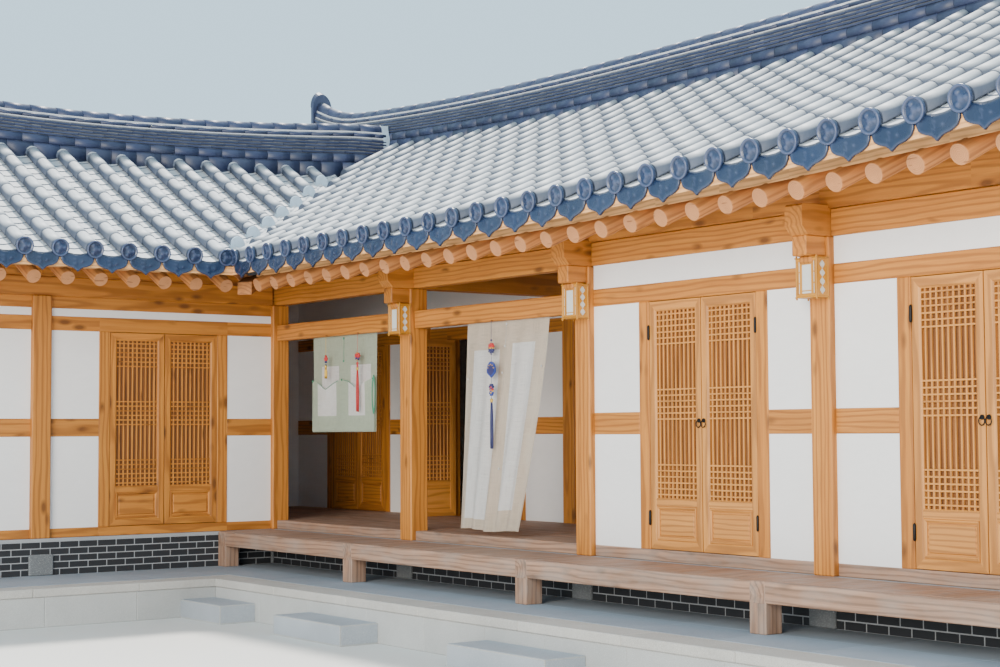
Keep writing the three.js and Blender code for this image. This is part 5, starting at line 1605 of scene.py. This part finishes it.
class FloorBoards(bpy.types.Operator):
    """Boards of the porch, hall and rooms, and the porch's beams and legs"""
    bl_idname = "house.floors"
    bl_label = "Floors"

    def execute(self, context):
        porch = Joined()
        left, right = 3098, 13897
        for n, (a, b) in enumerate(pairs([left, *LINES[2:5], right])):
            bars(porch, [(a + (0 if n == 0 else 1), b - 1, -750, -650, BEAM_FOOT, PORCH_TOP)], 0, 7, 0,
                 (0.4, 0.6))
        edges = left + np.concatenate([[0], np.cumsum(CHANCE.uniform(88, 132, 140))])
        edges = np.append(edges[edges < right - 60], right)
        bars(porch, [(a + 1, b - 1, -649.5, -98, PORCH_TOP - 30, PORCH_TOP - 0.5)
                     for a, b in pairs(edges)], 1, 3, 0, (0.2, 0.8))
        bars(porch, [(left, right, -168, -98, BEAM_FOOT, PORCH_TOP - 31)], 0, 5)
        for x in LINES[1:]:
            a = max(left, x - 80)
            bars(porch, [(a, a + 160, -752, -590, PLATFORM_TOP + 0.5, 684)], 2, 7, 0, (0.2, 0.5))
            bars(porch, [(a + 5, a + 155, -754, -640, BEAM_FOOT - 6, PORCH_TOP + 0.5)], 1, 6, 0, (0.1, 0.3))
            bars(porch, [(a + 10, a + 150, -600, -118, BEAM_FOOT, 684)], 1, 5, 0)
        porch.build("porch_boards", ["old"], "old_timber", ["porch_frame", "porch_deck"])

        hall = Joined()
        for a, b in HALL_BAYS:
            bars(hall, [(a + 98, b - 98, -RAIL_FACE, 62, PORCH_TOP + 0.5, FLOOR_TOP)], 0, 6, 0, (0.3, 0.6))
        under = FLOOR_TOP - 40
        joists = np.linspace(48, 8352, 7)
        for x0, x1 in pairs(joists):
            bars(hall, [(x0 + 2, x0 + 138, 49, 1951, under, FLOOR_TOP + 0.6)], 1, 3, 0, (0.3, 0.7))
            edges = np.linspace(64, 1951, 12)
            bars(hall, [(x0 + 140, x1, a + 1, b - 1, under, FLOOR_TOP) for a, b in pairs(edges)],
                 0, 3, 0, (0.2, 0.8))
        hall.build("hall_boards", ["old"], "old_timber", ["hall_floor"])
        CHANCE.random(PASSED_OVER)

        rooms = Joined()
        for x0, x1, y0, y1 in ROOMS:
            edges = np.arange(y0, y1 + 1, (y1 - y0) / round((y1 - y0) / 180))
            half = (x0 + x1) / 2
            bars(rooms, [(a0, a1, a + 1, b - 1, under, FLOOR_TOP) for a, b in pairs(edges)
                         for a0, a1 in ((x0, half - 1), (half + 1, x1))], 0, 2, 0, (0.3, 0.7))
        rooms.build("room_boards", ["old"], "old_timber", ["room_floor", "wing_floor"])
        return done()


CORDS_AT = (7080, 4790, 4170)
CURTAIN_RAIL = (2745, 2915)
PLATE_JOINTS = [2920, *LINES[2:5], GABLES[1]]
EAVE_PURLIN = (1060, 1220)


class ColumnsAndBeams(bpy.types.Operator):
    """Front columns with their bracket arms, cross beams, lintels of the open bays and the front purlin"""
    bl_idname = "house.columns"
    bl_label = "Columns and beams"

    def execute(self, context):
        columns = Joined()
        for n, x in enumerate(LINES[1:]):
            bars(columns, [upright(x, 0, HALF_POST, PORCH_TOP, POST_TOP)], 2, 9, 0, (0.4, 0.65))
            if n:
                bars(columns, [(x - 70, x + 70, -297.5, -92, 2986, PLATE_BOTTOM)], 1, 8, 0, (0.2, 0.6))
                bars(columns, [(x - 64, x + 64, -240, -92, 2931, 2990)], 1, 14, 0, (0.2, 0.6))
        columns.build("column_posts", ["timber"], "timber", [f"front_column_{n}" for n in range(1, 6)])

        beams = Joined()
        names = [f"cross_beam_{n}" for n in range(1, 5)]
        for name in names:
            low, high = plan_box(name)
            x, back = (low[0] + high[0]) / 2, high[1]
            outline = [(-287, PLATE_BOTTOM), (back, PLATE_BOTTOM), (back, 3440), (560, 3440), (470, 3352),
                       (-330, 3352), (-347, 3336), (-347, 3196)]
            prisms(beams, outline, [(x - 85, x + 85)], stack, tone=(0.3, 0.6), across=True)
        beams.build("beam_timbers", ["timber"], "timber", names)

        lintels = Joined()
        for a, b in HALL_BAYS:
            bars(lintels, [(a + 98, b - 98, -55, 55, *CURTAIN_RAIL)], 0, 8, 0, (0.45, 0.6))
        foot = CURTAIN_RAIL[0]
        bars(lintels, [(x - 3, x + 3, -78, -54, foot + 1, foot + 7) for x in CORDS_AT], 1, 1, 1)
        lintels.build("open_lintels", ["timber", "iron"], "timber", ["open_lintel_1", "open_lintel_2"])

        front = Joined()
        for n, (a, b) in enumerate(pairs(PLATE_JOINTS)):
            start, end = a + 1 + (85 if n > 0 else 0), b - 1 - (85 if n < 3 else 0)
            bars(front, [(start, end, -60, 60, PLATE_BOTTOM, PURLIN_BOTTOM)], 0, 7, 0, (0.4, 0.6))
        purlin(front, SLOPES["front"], PLATE_JOINTS[0] + 1, GABLES[1] - 1, *EAVE_PURLIN, 3332)
        front.build("front_purlins", ["timber"], "timber", ["front_purlin"])
        return done()


def valley_beam(piece):
    length = math.hypot(1, STEEPER)
    section = [(-75, -165), (75, -165), (75, -35), (-75, -35)]

    def place(along, w, h):
        y = -EAVE + STEEPER * (WING_RUN - (along - WING_MIDDLE))
        base = SLOPES["front"].under(along, y + EAVE)
        return stack(along + w * STEEPER / length, y + w / length, base + h)
    edges = np.linspace(3910, 1640, 9)
    prisms(piece, section, pairs(edges), place, tone=(0.4, 0.5))


class Rafters(bpy.types.Operator):
    """Rafter logs with their sawn ends, soffit and eave boards, and the ridge and inner purlins"""
    bl_idname = "house.rafters"
    bl_label = "Rafters"

    def execute(self, context):
        front, court = SLOPES["front"], SLOPES["court"]
        low, high = GABLES[0] + 1, GABLES[1] - 1
        main = rafter_stations(-340, 14140, RAFTER["phase"] + WING_WIDTH)
        wing = rafter_stations(-5740, 1593, RAFTER["phase"])

        def main_top(x):
            return log_foot(front, x, MAIN_RUN - RIDGE_PURLIN_HALF) + 2

        def wing_top(y):
            return log_foot(court, y, WING_RUN - RIDGE_PURLIN_HALF) + 2
        for name, stations, gap, node in (("front", main, 190, "main_front_rafters"),
                                          ("back", main, 0, "main_back_rafters"),
                                          ("court", wing, 60, "wing_court_rafters"),
                                          ("outer", wing, 60, "wing_outer_rafters")):
            piece = rafter_set(SLOPES[name], stations, gap)
            if name == "front":
                purlin(piece, front, low, high, 3050, 3230, 4230)
            if name == "back":
                ridge_purlin(piece, np.linspace(low, high, 15), main_top,
                             lambda s, w, h: stack(s, RIDGE_DEPTH + w, h))
            if name == "court":
                ridge_purlin(piece, np.linspace(WING_GABLE + 1, 1763, 9), wing_top,
                             lambda s, w, h: stack(WING_MIDDLE + w, s, h))
                valley_beam(piece)
            piece.build(f"{name}_rafter_logs", ["log", "log_end", "fresh"], "timber", [node])
        return done()


class WallTimbers(bpy.types.Operator):
    """Posts, rails, jambs and lintels of every wall, and the plates and purlins over the outer ones"""
    bl_idname = "house.walls"
    bl_label = "Wall timbers"

    def execute(self, context):
        woods = ["timber", "screen"]
        wing_span = (WING_GABLE, -82)
        outer = Joined()
        for wall in OUTER_WALLS:
            wall_timbers(outer, wall)
        bars(outer, [upright(x, y, HALF_POST, PORCH_TOP, POST_TOP) for x, y in CORNER_POSTS], 2, 8)
        bars(outer, [(a + 1, b - 1, DEPTH - 60, DEPTH + 60, PLATE_BOTTOM, PURLIN_BOTTOM) for a, b in
                     pairs([GABLES[0], *LINES[1:5], GABLES[1]])], 0, 7)
        bars(outer, [(-60, 60, *wing_span, PLATE_BOTTOM, PURLIN_BOTTOM)], 1, 7)
        purlin(outer, SLOPES["back"], GABLES[0] + 1, GABLES[1] - 1, *EAVE_PURLIN, 3330)
        purlin(outer, SLOPES["outer"], wing_span[0] + 1, wing_span[1], *EAVE_PURLIN, 3330)
        for wall in OUTER_WALLS:
            fixed_leaves(outer, wall)
        outer.build("outer_wall_timbers", woods, "timber", ["outer_wall_frame"])

        court = Joined()
        wall_timbers(court, COURT_WALL)
        bars(court, [(WING_WIDTH - 60, WING_WIDTH + 60, *wing_span, PLATE_BOTTOM, PURLIN_BOTTOM)], 1, 7)
        purlin(court, SLOPES["court"], wing_span[0] + 1, wing_span[1], *EAVE_PURLIN, 3330)
        fixed_leaves(court, COURT_WALL)
        court.build("court_wall_timbers", woods, "timber", ["court_wall_frame"])

        hall = Joined()
        for wall in HALL_WALLS:
            wall_timbers(hall, wall, PLATE_BOTTOM - 1)
            fixed_leaves(hall, wall)
        hall.build("hall_wall_timbers", woods, "timber", ["hall_wall_frame"])

        for bay, (left, right, start) in BAYS.items():
            piece = Joined()
            end = start + DOORWAY
            jambs = ((start - JAMB, start), (end, end + JAMB))
            rails = ((left, start - JAMB), (end + JAMB, right))
            bars(piece, [(left, right, -RAIL_FACE, RAIL_FACE, RAIL_FOOT, FLOOR_TOP)], 0, 6, 2, (0.4, 0.6))
            bars(piece, [(left, right, -RAIL_FACE, RAIL_FACE, *LINTEL)], 0, 6, 0, (0.45, 0.6))
            bars(piece, [(a, b, -RAIL_FACE - 0.5, RAIL_FACE, FLOOR_TOP, LINTEL[0]) for a, b in jambs],
                 2, 5, 0, (0.45, 0.7))
            bars(piece, [(a, b, -RAIL_FACE, -CORE_FACE, *MID_RAIL) for a, b in rails], 0, 5, 0, (0.3, 0.6))
            piece.build(f"{bay}_timbers", [*woods, "old"], "timber", [f"{bay}_frame"])
        return done()


class HungDoors(bpy.types.Operator):
    """The leaves that swing, with their hinges and ring pulls"""
    bl_idname = "house.doors"
    bl_label = "Hung doors"

    def execute(self, context):
        leaves = []
        for bay, (*_, start) in BAYS.items():
            end = start + DOORWAY
            leaves.append((f"{bay}_door_left", hung_lay(start + LEAF_INSET, 1, DOOR_FRONT), False))
            leaves.append((f"{bay}_door_right", hung_lay(end - LEAF_INSET, -1, DOOR_FRONT), False))
        leaves.append(("hall_door_left", open_lay(HALL_DOOR + 10, HALL_LEAF_FACE), True))
        for node, lay, both in leaves:
            piece = Joined()
            door_leaf(piece, lay, both)
            piece.build(f"{node}_leaf", ["joinery", "screen"], "timber", [node], node)
            iron_piece(node, lay)
        return done()


def lantern(piece, low, high):
    """A paper box between four posts, with rails, fretted fronts and cornered side panels."""
    (x0, y0, z0), (x1, y1, z1) = low, high
    post, cells = 13, 4
    foot, head = z0 + 20, z1 - 20
    for px in (x0, x1 - post):
        for py in (y0, y1 - post):
            bars(piece, [(px, px + post, py, py + post, z0 - 14, z1 + 12)], 2, 3)
    for z in (z0 + 8, z1 - 23):
        bars(piece, [(x0 + 2, x1 - 2, y, y + 10, z, z + 15) for y in (y0 + 2, y1 - 12)], 0, 2)
        bars(piece, [(x, x + 10, y0 + 2, y1 - 2, z, z + 15) for x in (x0 + 2, x1 - 12)], 1, 2)
    bars(piece, [(x0 - 6, x1 + 6, y0 - 6, y1, z1 - 8, z1), (x0 - 4, x1 + 4, y0 - 4, y1, z0, z0 + 8)], 0, 3)
    bars(piece, [(x0 + 9, x1 - 9, y0 + 9, y1 - 9, foot, head)], 2, 2, 1)
    left, right = x0 + 58, x1 - 58
    bars(piece, [(a, b, y0 + 4, y0 + 12, foot, head) for a, b in
                 ((x0 + 12, x0 + 27), (x0 + 37, left), (right, x1 - 37), (x1 - 27, x1 - 12))], 2, 1)
    bars(piece, [(left - 8, right + 8, y0 + 3, y0 + 11, a, b) for a, b in
                 ((foot, foot + 10), (z0 + 46, z0 + 52), (z1 - 52, z1 - 46), (head - 10, head))], 0, 1)
    bars(piece, [(a, b, y0 + 5, y0 + 11, z, z + 9) for a, b in ((x0 + 26, x0 + 38), (x1 - 38, x1 - 26))
                 for z in np.linspace(foot, z1 - 29, cells)], 0, 1)
    middle = (y0 + y1) / 2
    tall = (z1 - z0 - 44) / cells
    corner = [(28, tall / 2), (28, 5), (5, tall / 2)]
    for side in (x0 + 3, x1 - 11):
        bars(piece, [(side, side + 8, a, b, foot, head) for a, b in
                     ((y0 + 12, middle - 27), (middle + 27, y1 - 12))], 2, 1)
        for k in range(cells):
            centre = z0 + 22 + k * tall + tall / 2
            for way, up in ((1, 1), (1, -1), (-1, 1), (-1, -1)):
                section = [(middle + way * w, centre + up * h) for w, h in corner]
                prisms(piece, section, [(side, side + 8)], stack, across=True)


class Lanterns(bpy.types.Operator):
    """Paper lanterns in fretted frames on the middle columns"""
    bl_idname = "house.lanterns"
    bl_label = "Lanterns"

    def execute(self, context):
        for n in range(1, 4):
            piece = Joined()
            lantern(piece, *plan_box(f"lantern_{n}"))
            piece.build(f"lantern_{n}_case", ["gold_timber", "paper"], "lantern_paper", [f"lantern_{n}"])
        return done()


CORD_DROP = 170
SILKS = ["navy", "red", "gold", "teal", "blue"]
# Beads and knots are (distance below the cord's knot, silk, size)
ORNAMENTS = (
    {"name": "blue_ornament", "x": CORDS_AT[0], "silk": "navy", "fan": 220, "cap": 560, "end": 980,
     "beads": [(2.0, "navy", 22), (56, "red", 50), (74, "gold", 42), (92, "navy", 50), (130, "navy", 16)],
     "knots": [(424, "navy", 40), (444, "red", 34), (462, "gold", 30), (478, "blue", 36)]},
    {"name": "red_ornament", "x": CORDS_AT[1], "silk": "red", "fan": None, "cap": 200, "end": 620,
     "beads": [(30, "gold", 24), (56, "red", 56), (78, "navy", 44), (96, "gold", 26)],
     "knots": [(134, "red", 22), (160, "red", 18)]},
    {"name": "small_ornament", "x": CORDS_AT[2], "silk": "gold", "fan": None, "cap": 160, "end": 270,
     "beads": [(36, "red", 26), (66, "red", 40), (98, "navy", 30)],
     "knots": [(130, "navy", 16)]},
)
CURTAIN_TOP = 2744.0


def sheer_curtain():
    drop = CURTAIN_TOP - 856

    def place(u, v):
        left = 6612 - 150 * v
        right = 7838 - 460 * v ** 1.25
        fold = (4 + 26 * v) * np.sin(2 * math.pi * (5.2 * u + 0.35 * v)) * (1 - 0.4 * np.abs(2 * u - 1))
        sway = 6 * np.sin(math.pi * v) * np.cos(3 * u)
        hem = 10 * np.sin(9 * u) * v
        return stack(left + (right - left) * u, fold + sway, CURTAIN_TOP - drop * v + hem)
    panels = [(0.1, 0.42, 0.13, 0.95), (0.58, 0.86, 0.11, 0.9)]
    curtain = cloth_grid("sheer_curtain", 100, 120, place, panels, ["ramie", "white_ramie"], "ramie",
                         replaces=["hall_curtain_sheer"])
    trims = Joined()
    ties = [(0.505, 0.015), (0.505, 0.12), (0.5, 0.245), (0.97, 0.225), (0.03, 0.27), (0.55, 0.7),
            (0.84, 0.7)]
    centres = pinned(place, ties, (0, -9, 0))
    petals = [c + np.array([7 * math.cos(a), 0, 7 * math.sin(a)]) for c in centres for a in turn_angles(5)]
    balls(trims, centres, [4.5] * len(centres), 0.8, 0, 8, 5)
    balls(trims, petals, [5.0] * len(petals), 0.9, 0, 8, 5)
    path = pinned(place, [(0.503, v) for v in np.linspace(0.12, 0.015, 8)], (0, -5, 0))
    points, faces = upright_tube(path, 1.6, 6)
    trims.add(points[None], turned(faces))
    made = trims.build("sheer_curtain_ties", ["white_ramie"], "ramie")


def green_curtain():
    bottom, clip, fold = 1762.0, 2290.0, 30
    drop = CURTAIN_TOP - bottom
    rise = clip - bottom
    whole = drop + rise + fold

    def place(u, v):
        run = v * whole
        turn = np.clip((run - drop) / fold, 0, 1)
        rising = np.maximum(0, run - drop - fold)
        fallen = np.minimum(run, drop)
        lifted = rising / rise
        sag = 1 - np.abs(np.cos(2 * math.pi * u))
        z = CURTAIN_TOP - fallen + rising - 96 * sag * lifted ** 3 - 8 * np.sin(math.pi * turn)
        wave = (3 + 9 * v) * np.sin(2 * math.pi * (3.3 * u + 0.2)) * (1 - turn * 0.6)
        y = 10 - turn * 24 + wave * 0.6 - 20 * sag * lifted ** 2
        return stack(3772 + u * (1256 - 34 * fallen / drop) + 17 * fallen / drop, y, z)
    panels = [(0.14, 0.42, 0.2, 0.58), (0.6, 0.9, 0.2, 0.58), (0.1, 0.4, 0.76, 1.0), (0.6, 0.86, 0.76, 1.0)]
    curtain = cloth_grid("green_curtain", 84, 130, place, panels, ["green", "white_ramie"], "green_ramie",
                         replaces=["hall_curtain_green"])
    trims = Joined()
    centres = pinned(place, [(u, 0.995) for u in (0.015, 0.5, 0.985)], (0, -8, 6))
    centres += pinned(place, [(0.5, v) for v in (0.02, 0.17)], (0, -8, 0))
    balls(trims, centres, [9.0] * len(centres), 1.3, 0, 8, 5)
    path = pinned(place, [(0.5, v) for v in np.linspace(0.17, 0.02, 8)], (0, -5, 0))
    points, faces = upright_tube(path, 1.8, 6)
    trims.add(points[None], turned(faces))
    for start, end in ((0.1, 0.44), (0.53, 0.72)):
        path = pinned(place, [(u, 0.996) for u in np.linspace(start, end, 14)], (0, -6, 2))
        points = np.concatenate([[p + np.array([0, 3.4 * math.cos(a), 3.4 * math.sin(a)])
                                  for a in turn_angles(6)] for p in path])
        trims.add(points[None], Faces(tube_quads(len(path), 6), 0, True))
    loop, faces = ring_template(30, 5.5, 28, 8)
    trims.add((loop * np.array([0.9, 1, 5.6]) + np.array([5002, -18, 2128]))[None], faces)
    made = trims.build("green_curtain_clips", ["teal"], "green_ramie")


def ornament(name, x, silk, beads, knots, fan, cap, end):
    """A cord from the lintel through knots and beads to a long tassel."""
    y = -75.0
    knot = CURTAIN_RAIL[0] - CORD_DROP
    piece = Joined()

    def rosette(count, depth, colour, size, wide, tall, ball):
        centres = [(x + size * wide * math.cos(a), y, knot - depth + size * tall * math.sin(a))
                   for a in turn_angles(count)]
        balls(piece, centres, [size * ball] * count, 0.9, SILKS.index(colour), 8, 5)
    for depth, colour, size in beads:
        balls(piece, [(x, y, knot - depth)], [size * 0.5], 0.8, SILKS.index(colour))
    for row in knots:
        rosette(6, *row, 0.55, 0.5, 0.36)
    for row in beads[1:-1]:
        rosette(7, *row, 0.6, 0.4, 0.28)
    if fan:
        top = knot - fan + 30
        leaf = [(0, -150)] + arc(64, 84, -12, 192, 15, (0, -88))
        heart = [(0.7 * w, 0.7 * (h + 95) - 92) for w, h in leaf]
        for section, thick, slot in ((leaf, 6, 4), (heart, 9, 0)):
            prisms(piece, section, [(y - thick, y + thick)], lambda s, w, h: stack(x + w, s, top + h),
                   slot=slot)
        for a in np.radians(np.arange(30, 151, 30)):
            balls(piece, [(x + 48 * math.cos(a), y - 7, top - 92 + 60 * math.sin(a))], [8], 0.8, 2, 8, 5)
    z = knot - cap
    balls(piece, [(x, y, z + 14)], [14], 1.5, 2)
    tassel(piece, x, y, z, knot - end, 15, SILKS.index(silk))
    made = piece.build(name, SILKS, "ramie")
    length = CORD_DROP + end - 12
    path = [(x, y, CURTAIN_RAIL[0] + 3 - t * length) for t in np.linspace(0, 1, 24)]
    thread = Joined()
    points, faces = upright_tube(path, 1.8)
    thread.add(points[None], faces)
    cord = thread.build(f"{name}_cord", [silk], "ramie")
    to_frame(path[0])
    to_frame(path).tolist()


class Curtains(bpy.types.Operator):
    """Two ramie curtains and the knotted ornaments that hang before them"""
    bl_idname = "house.curtains"
    bl_label = "Curtains"

    def execute(self, context):
        sheer_curtain()
        green_curtain()
        for settings in ORNAMENTS:
            ornament(**settings)
        return done()


class RoofTiles(bpy.types.Operator):
    """Rows of cover and trough tiles on the four slopes, with their discs and hanging tiles"""
    bl_idname = "house.tiles"
    bl_label = "Roof tiles"

    def execute(self, context):
        for slope in SLOPES.values():
            tile_rows(slope).build(f"{slope.name}_tile_rows", ["tile", "cement"], "tile")
            eave_tiles(slope).build(f"{slope.name}_eave_tiles", ["glaze"], "tile")
        valley_tiles().build("valley_tiles", ["tile", "lime"], "tile")
        return done()


WING_RIDGE = (-5850, 2300)
WING_RIDGE_END = [(150, -260), (150, 120), (126, 190), (126, 380), (100, 440), (84, 520)]


class Ridges(bpy.types.Operator):
    """Stacked courses, lime lines, caps and end tiles of both ridges"""
    bl_idname = "house.ridges"
    bl_label = "Ridges"

    def execute(self, context):
        shades = ["ridge", "lime", "bed", "cement"]
        low, high = HOUSE_MIDDLE - MAIN_END, HOUSE_MIDDLE + MAIN_END
        main = ridge_rows(low, high, main_ridge_place)
        ridge_end(main, main_ridge_place, low, -1)
        ridge_end(main, main_ridge_place, high, 1)
        main.build("main_ridge_courses", shades, "tile", ["main_ridge"])
        wing = ridge_rows(*WING_RIDGE, wing_ridge_place)
        ridge_end(wing, wing_ridge_place, WING_RIDGE[0] + 10, -1)
        prisms(wing, both_sides(WING_RIDGE_END), [(2262, 2349)], wing_ridge_place, slot=3, tone=(0.4, 0.5))
        wing.build("wing_ridge_courses", shades, "tile", ["wing_ridge"])
        return done()


GABLE_BOARD = [(0, -358), (0, -8), (40, -8), (40, -358)]
GABLE_BOARDS = (
    ("main_left_gable_board", GABLES[0], -1, (("front", 812.0), ("back", 20.0))),
    ("main_right_gable_board", GABLES[1], 1, (("front", 20.0), ("back", 20.0))),
    ("wing_gable_board", WING_GABLE, -1, (("court", 20.0), ("outer", 20.0))),
)


def verge_place(slope, s, way):
    """place for a board that hangs beside a slope's end at s."""
    return lambda along, w, h: slope.place(s + way * w, along, slope.bed(s, along) + h)


class GableBoards(bpy.types.Operator):
    """Boards that close the ends of the slopes"""
    bl_idname = "house.gables"
    bl_label = "Gable boards"

    def execute(self, context):
        for name, s, way, sides in GABLE_BOARDS:
            piece = Joined()
            for side, first in sides:
                slope = SLOPES[side]
                spans = pairs(np.linspace(first, slope.run, 7))
                prisms(piece, GABLE_BOARD, spans, verge_place(slope, s, way), tone=(0.45, 0.55))
            piece.build(f"{name}_timber", ["timber"], "timber", [name])
        return done()


INFILL_FACE = 40
INFILL_CLEAR = 6
PURLIN_SIDES = (62, 103)


class GableInfill(bpy.types.Operator):
    """Plaster that closes the gables beside their purlins"""
    bl_idname = "house.infill"
    bl_label = "Gable infill"

    def execute(self, context):
        piece = Joined()
        front, back, court, outer = (SLOPES[name] for name in ("front", "back", "court", "outer"))
        inner, outside = PURLIN_SIDES

        def under_front(x, y):
            return front.under(x, y + EAVE) - INFILL_CLEAR

        def under_back(x, y):
            return back.under(x, BACK_EAVE - y) - INFILL_CLEAR

        def under_outer(x, y):
            return outer.under(y, x + EAVE) - INFILL_CLEAR

        def under_court(x, y):
            return court.under(y, WING_WIDTH + EAVE - x) - INFILL_CLEAR
        right = LINES[-1]
        for x0, x1, start in ((-INFILL_FACE, RAIL_FACE, -84),
                              (right - RAIL_FACE, right + INFILL_FACE, inner)):
            gable_infill(piece, x0, x1, start, 203, under_front)
            gable_infill(piece, x0, x1, DEPTH - outside, DEPTH - inner, under_back)
        end = (-WING_LENGTH - INFILL_FACE, -WING_LENGTH + RAIL_FACE)
        gable_infill(piece, inner, outside, *end, under_outer)
        gable_infill(piece, WING_WIDTH - outside, WING_WIDTH - inner, *end, under_court)
        piece.build("gable_infill", ["plaster"], "plaster")
        return done()


CAMERA = {"place": (13.245, -9.4695, 1.747), "yaw": 53.68, "pitch": 3.22, "roll": -0.29, "lens": 63.0}


def lamp(kind, name, place, aim, power, colour, size):
    light = bpy.data.lights.new(name, kind)
    light.energy = power
    light.color = colour
    if kind == "SUN":
        light.angle = size
    else:
        light.size = size
    holder = bpy.data.objects.new(name, light)
    holder.location = place
    holder.rotation_euler = (Vector(aim) - Vector(place)).to_track_quat("-Z", "Y").to_euler()
    bpy.context.scene.collection.objects.link(holder)


class Stage(bpy.types.Operator):
    """Plain floor, soft light and the camera"""
    bl_idname = "house.stage"
    bl_label = "Stage"

    def execute(self, context):
        scene = context.scene
        bpy.ops.mesh.primitive_grid_add(x_subdivisions=4, y_subdivisions=4, size=160, location=(0, 0, 0))
        floor = context.object
        floor.name = "studio_floor"
        f = Finish("Studio floor", 0.9)
        tint = f.noise(f.object_place(), 0.35, 2.0)
        f.colour(f.vary((0.66, 0.65, 0.62), tint, 0.97, 1.03))
        floor.data.materials.append(f.material)

        world = bpy.data.worlds.new("Studio sky")
        world.use_nodes = True
        sky = world.node_tree.nodes["Background"]
        sky.inputs["Color"].default_value = (0.6, 0.84, 1.0, 1)
        sky.inputs["Strength"].default_value = 1.5
        scene.world = world

        lamp("SUN", "high_light", (-7, 5, 16), (0, 0, 0), 7.0, (1.0, 0.95, 0.88), 0.1)
        lamp("AREA", "court_bounce", (15, -24, 8), (3, 0, 2.2), 8200, (1.0, 0.9, 0.76), 14.0)

        camera = bpy.data.cameras.new("view_camera")
        camera.lens = CAMERA["lens"]
        camera.sensor_fit = "HORIZONTAL"
        camera.sensor_width = 36
        yaw, pitch, roll = (math.radians(CAMERA[k]) for k in ("yaw", "pitch", "roll"))
        level = Vector((-math.sin(yaw), math.cos(yaw), 0))
        right = Vector((math.cos(yaw), math.sin(yaw), 0))
        up = Vector((0, 0, 1))
        forward = level * math.cos(pitch) + up * math.sin(pitch)
        above = up * math.cos(pitch) - level * math.sin(pitch)
        across = right * math.cos(roll) + above * math.sin(roll)
        above = above * math.cos(roll) - right * math.sin(roll)
        holder = bpy.data.objects.new("view_camera", camera)
        holder.matrix_world = Matrix.Translation(CAMERA["place"]) @ Matrix(
            (across, above, -forward)).transposed().to_4x4()
        scene.collection.objects.link(holder)
        scene.camera = holder
        return done()


OPERATORS = (
    Stage, PlasterAndCore, Stonework, Brickwork, FloorBoards, ColumnsAndBeams, WallTimbers, HungDoors,
    Rafters, RoofTiles, Ridges, GableBoards, Lanterns, Curtains, GableInfill,
)


class HousePanel(bpy.types.Panel):
    """Lists the pieces of the house"""
    bl_idname = "VIEW3D_PT_house"
    bl_label = "Hanok house"
    bl_space_type = "VIEW_3D"
    bl_region_type = "UI"
    bl_category = "Hanok"

    def draw(self, context):
        for operator in OPERATORS:
            self.layout.operator(operator.bl_idname)
        for group in (context.scene.house_sizes, context.scene.house_colours):
            box = self.layout.box()
            for name in group.__annotations__:
                box.prop(group, name)


CLASSES = (HouseSizes, HouseColours, *OPERATORS, HousePanel)


def register():
    for kind in CLASSES:
        bpy.utils.register_class(kind)
    bpy.types.Scene.house_sizes = PointerProperty(type=HouseSizes)
    bpy.types.Scene.house_colours = PointerProperty(type=HouseColours)


def unregister():
    del bpy.types.Scene.house_colours
    del bpy.types.Scene.house_sizes
    for kind in reversed(CLASSES):
        bpy.utils.unregister_class(kind)


def main():
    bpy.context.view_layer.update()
    register()
    for operator in OPERATORS:
        group, name = operator.bl_idname.split(".")
        getattr(getattr(bpy.ops, group), name)()
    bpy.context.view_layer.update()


if __name__ == "__main__":
    main()
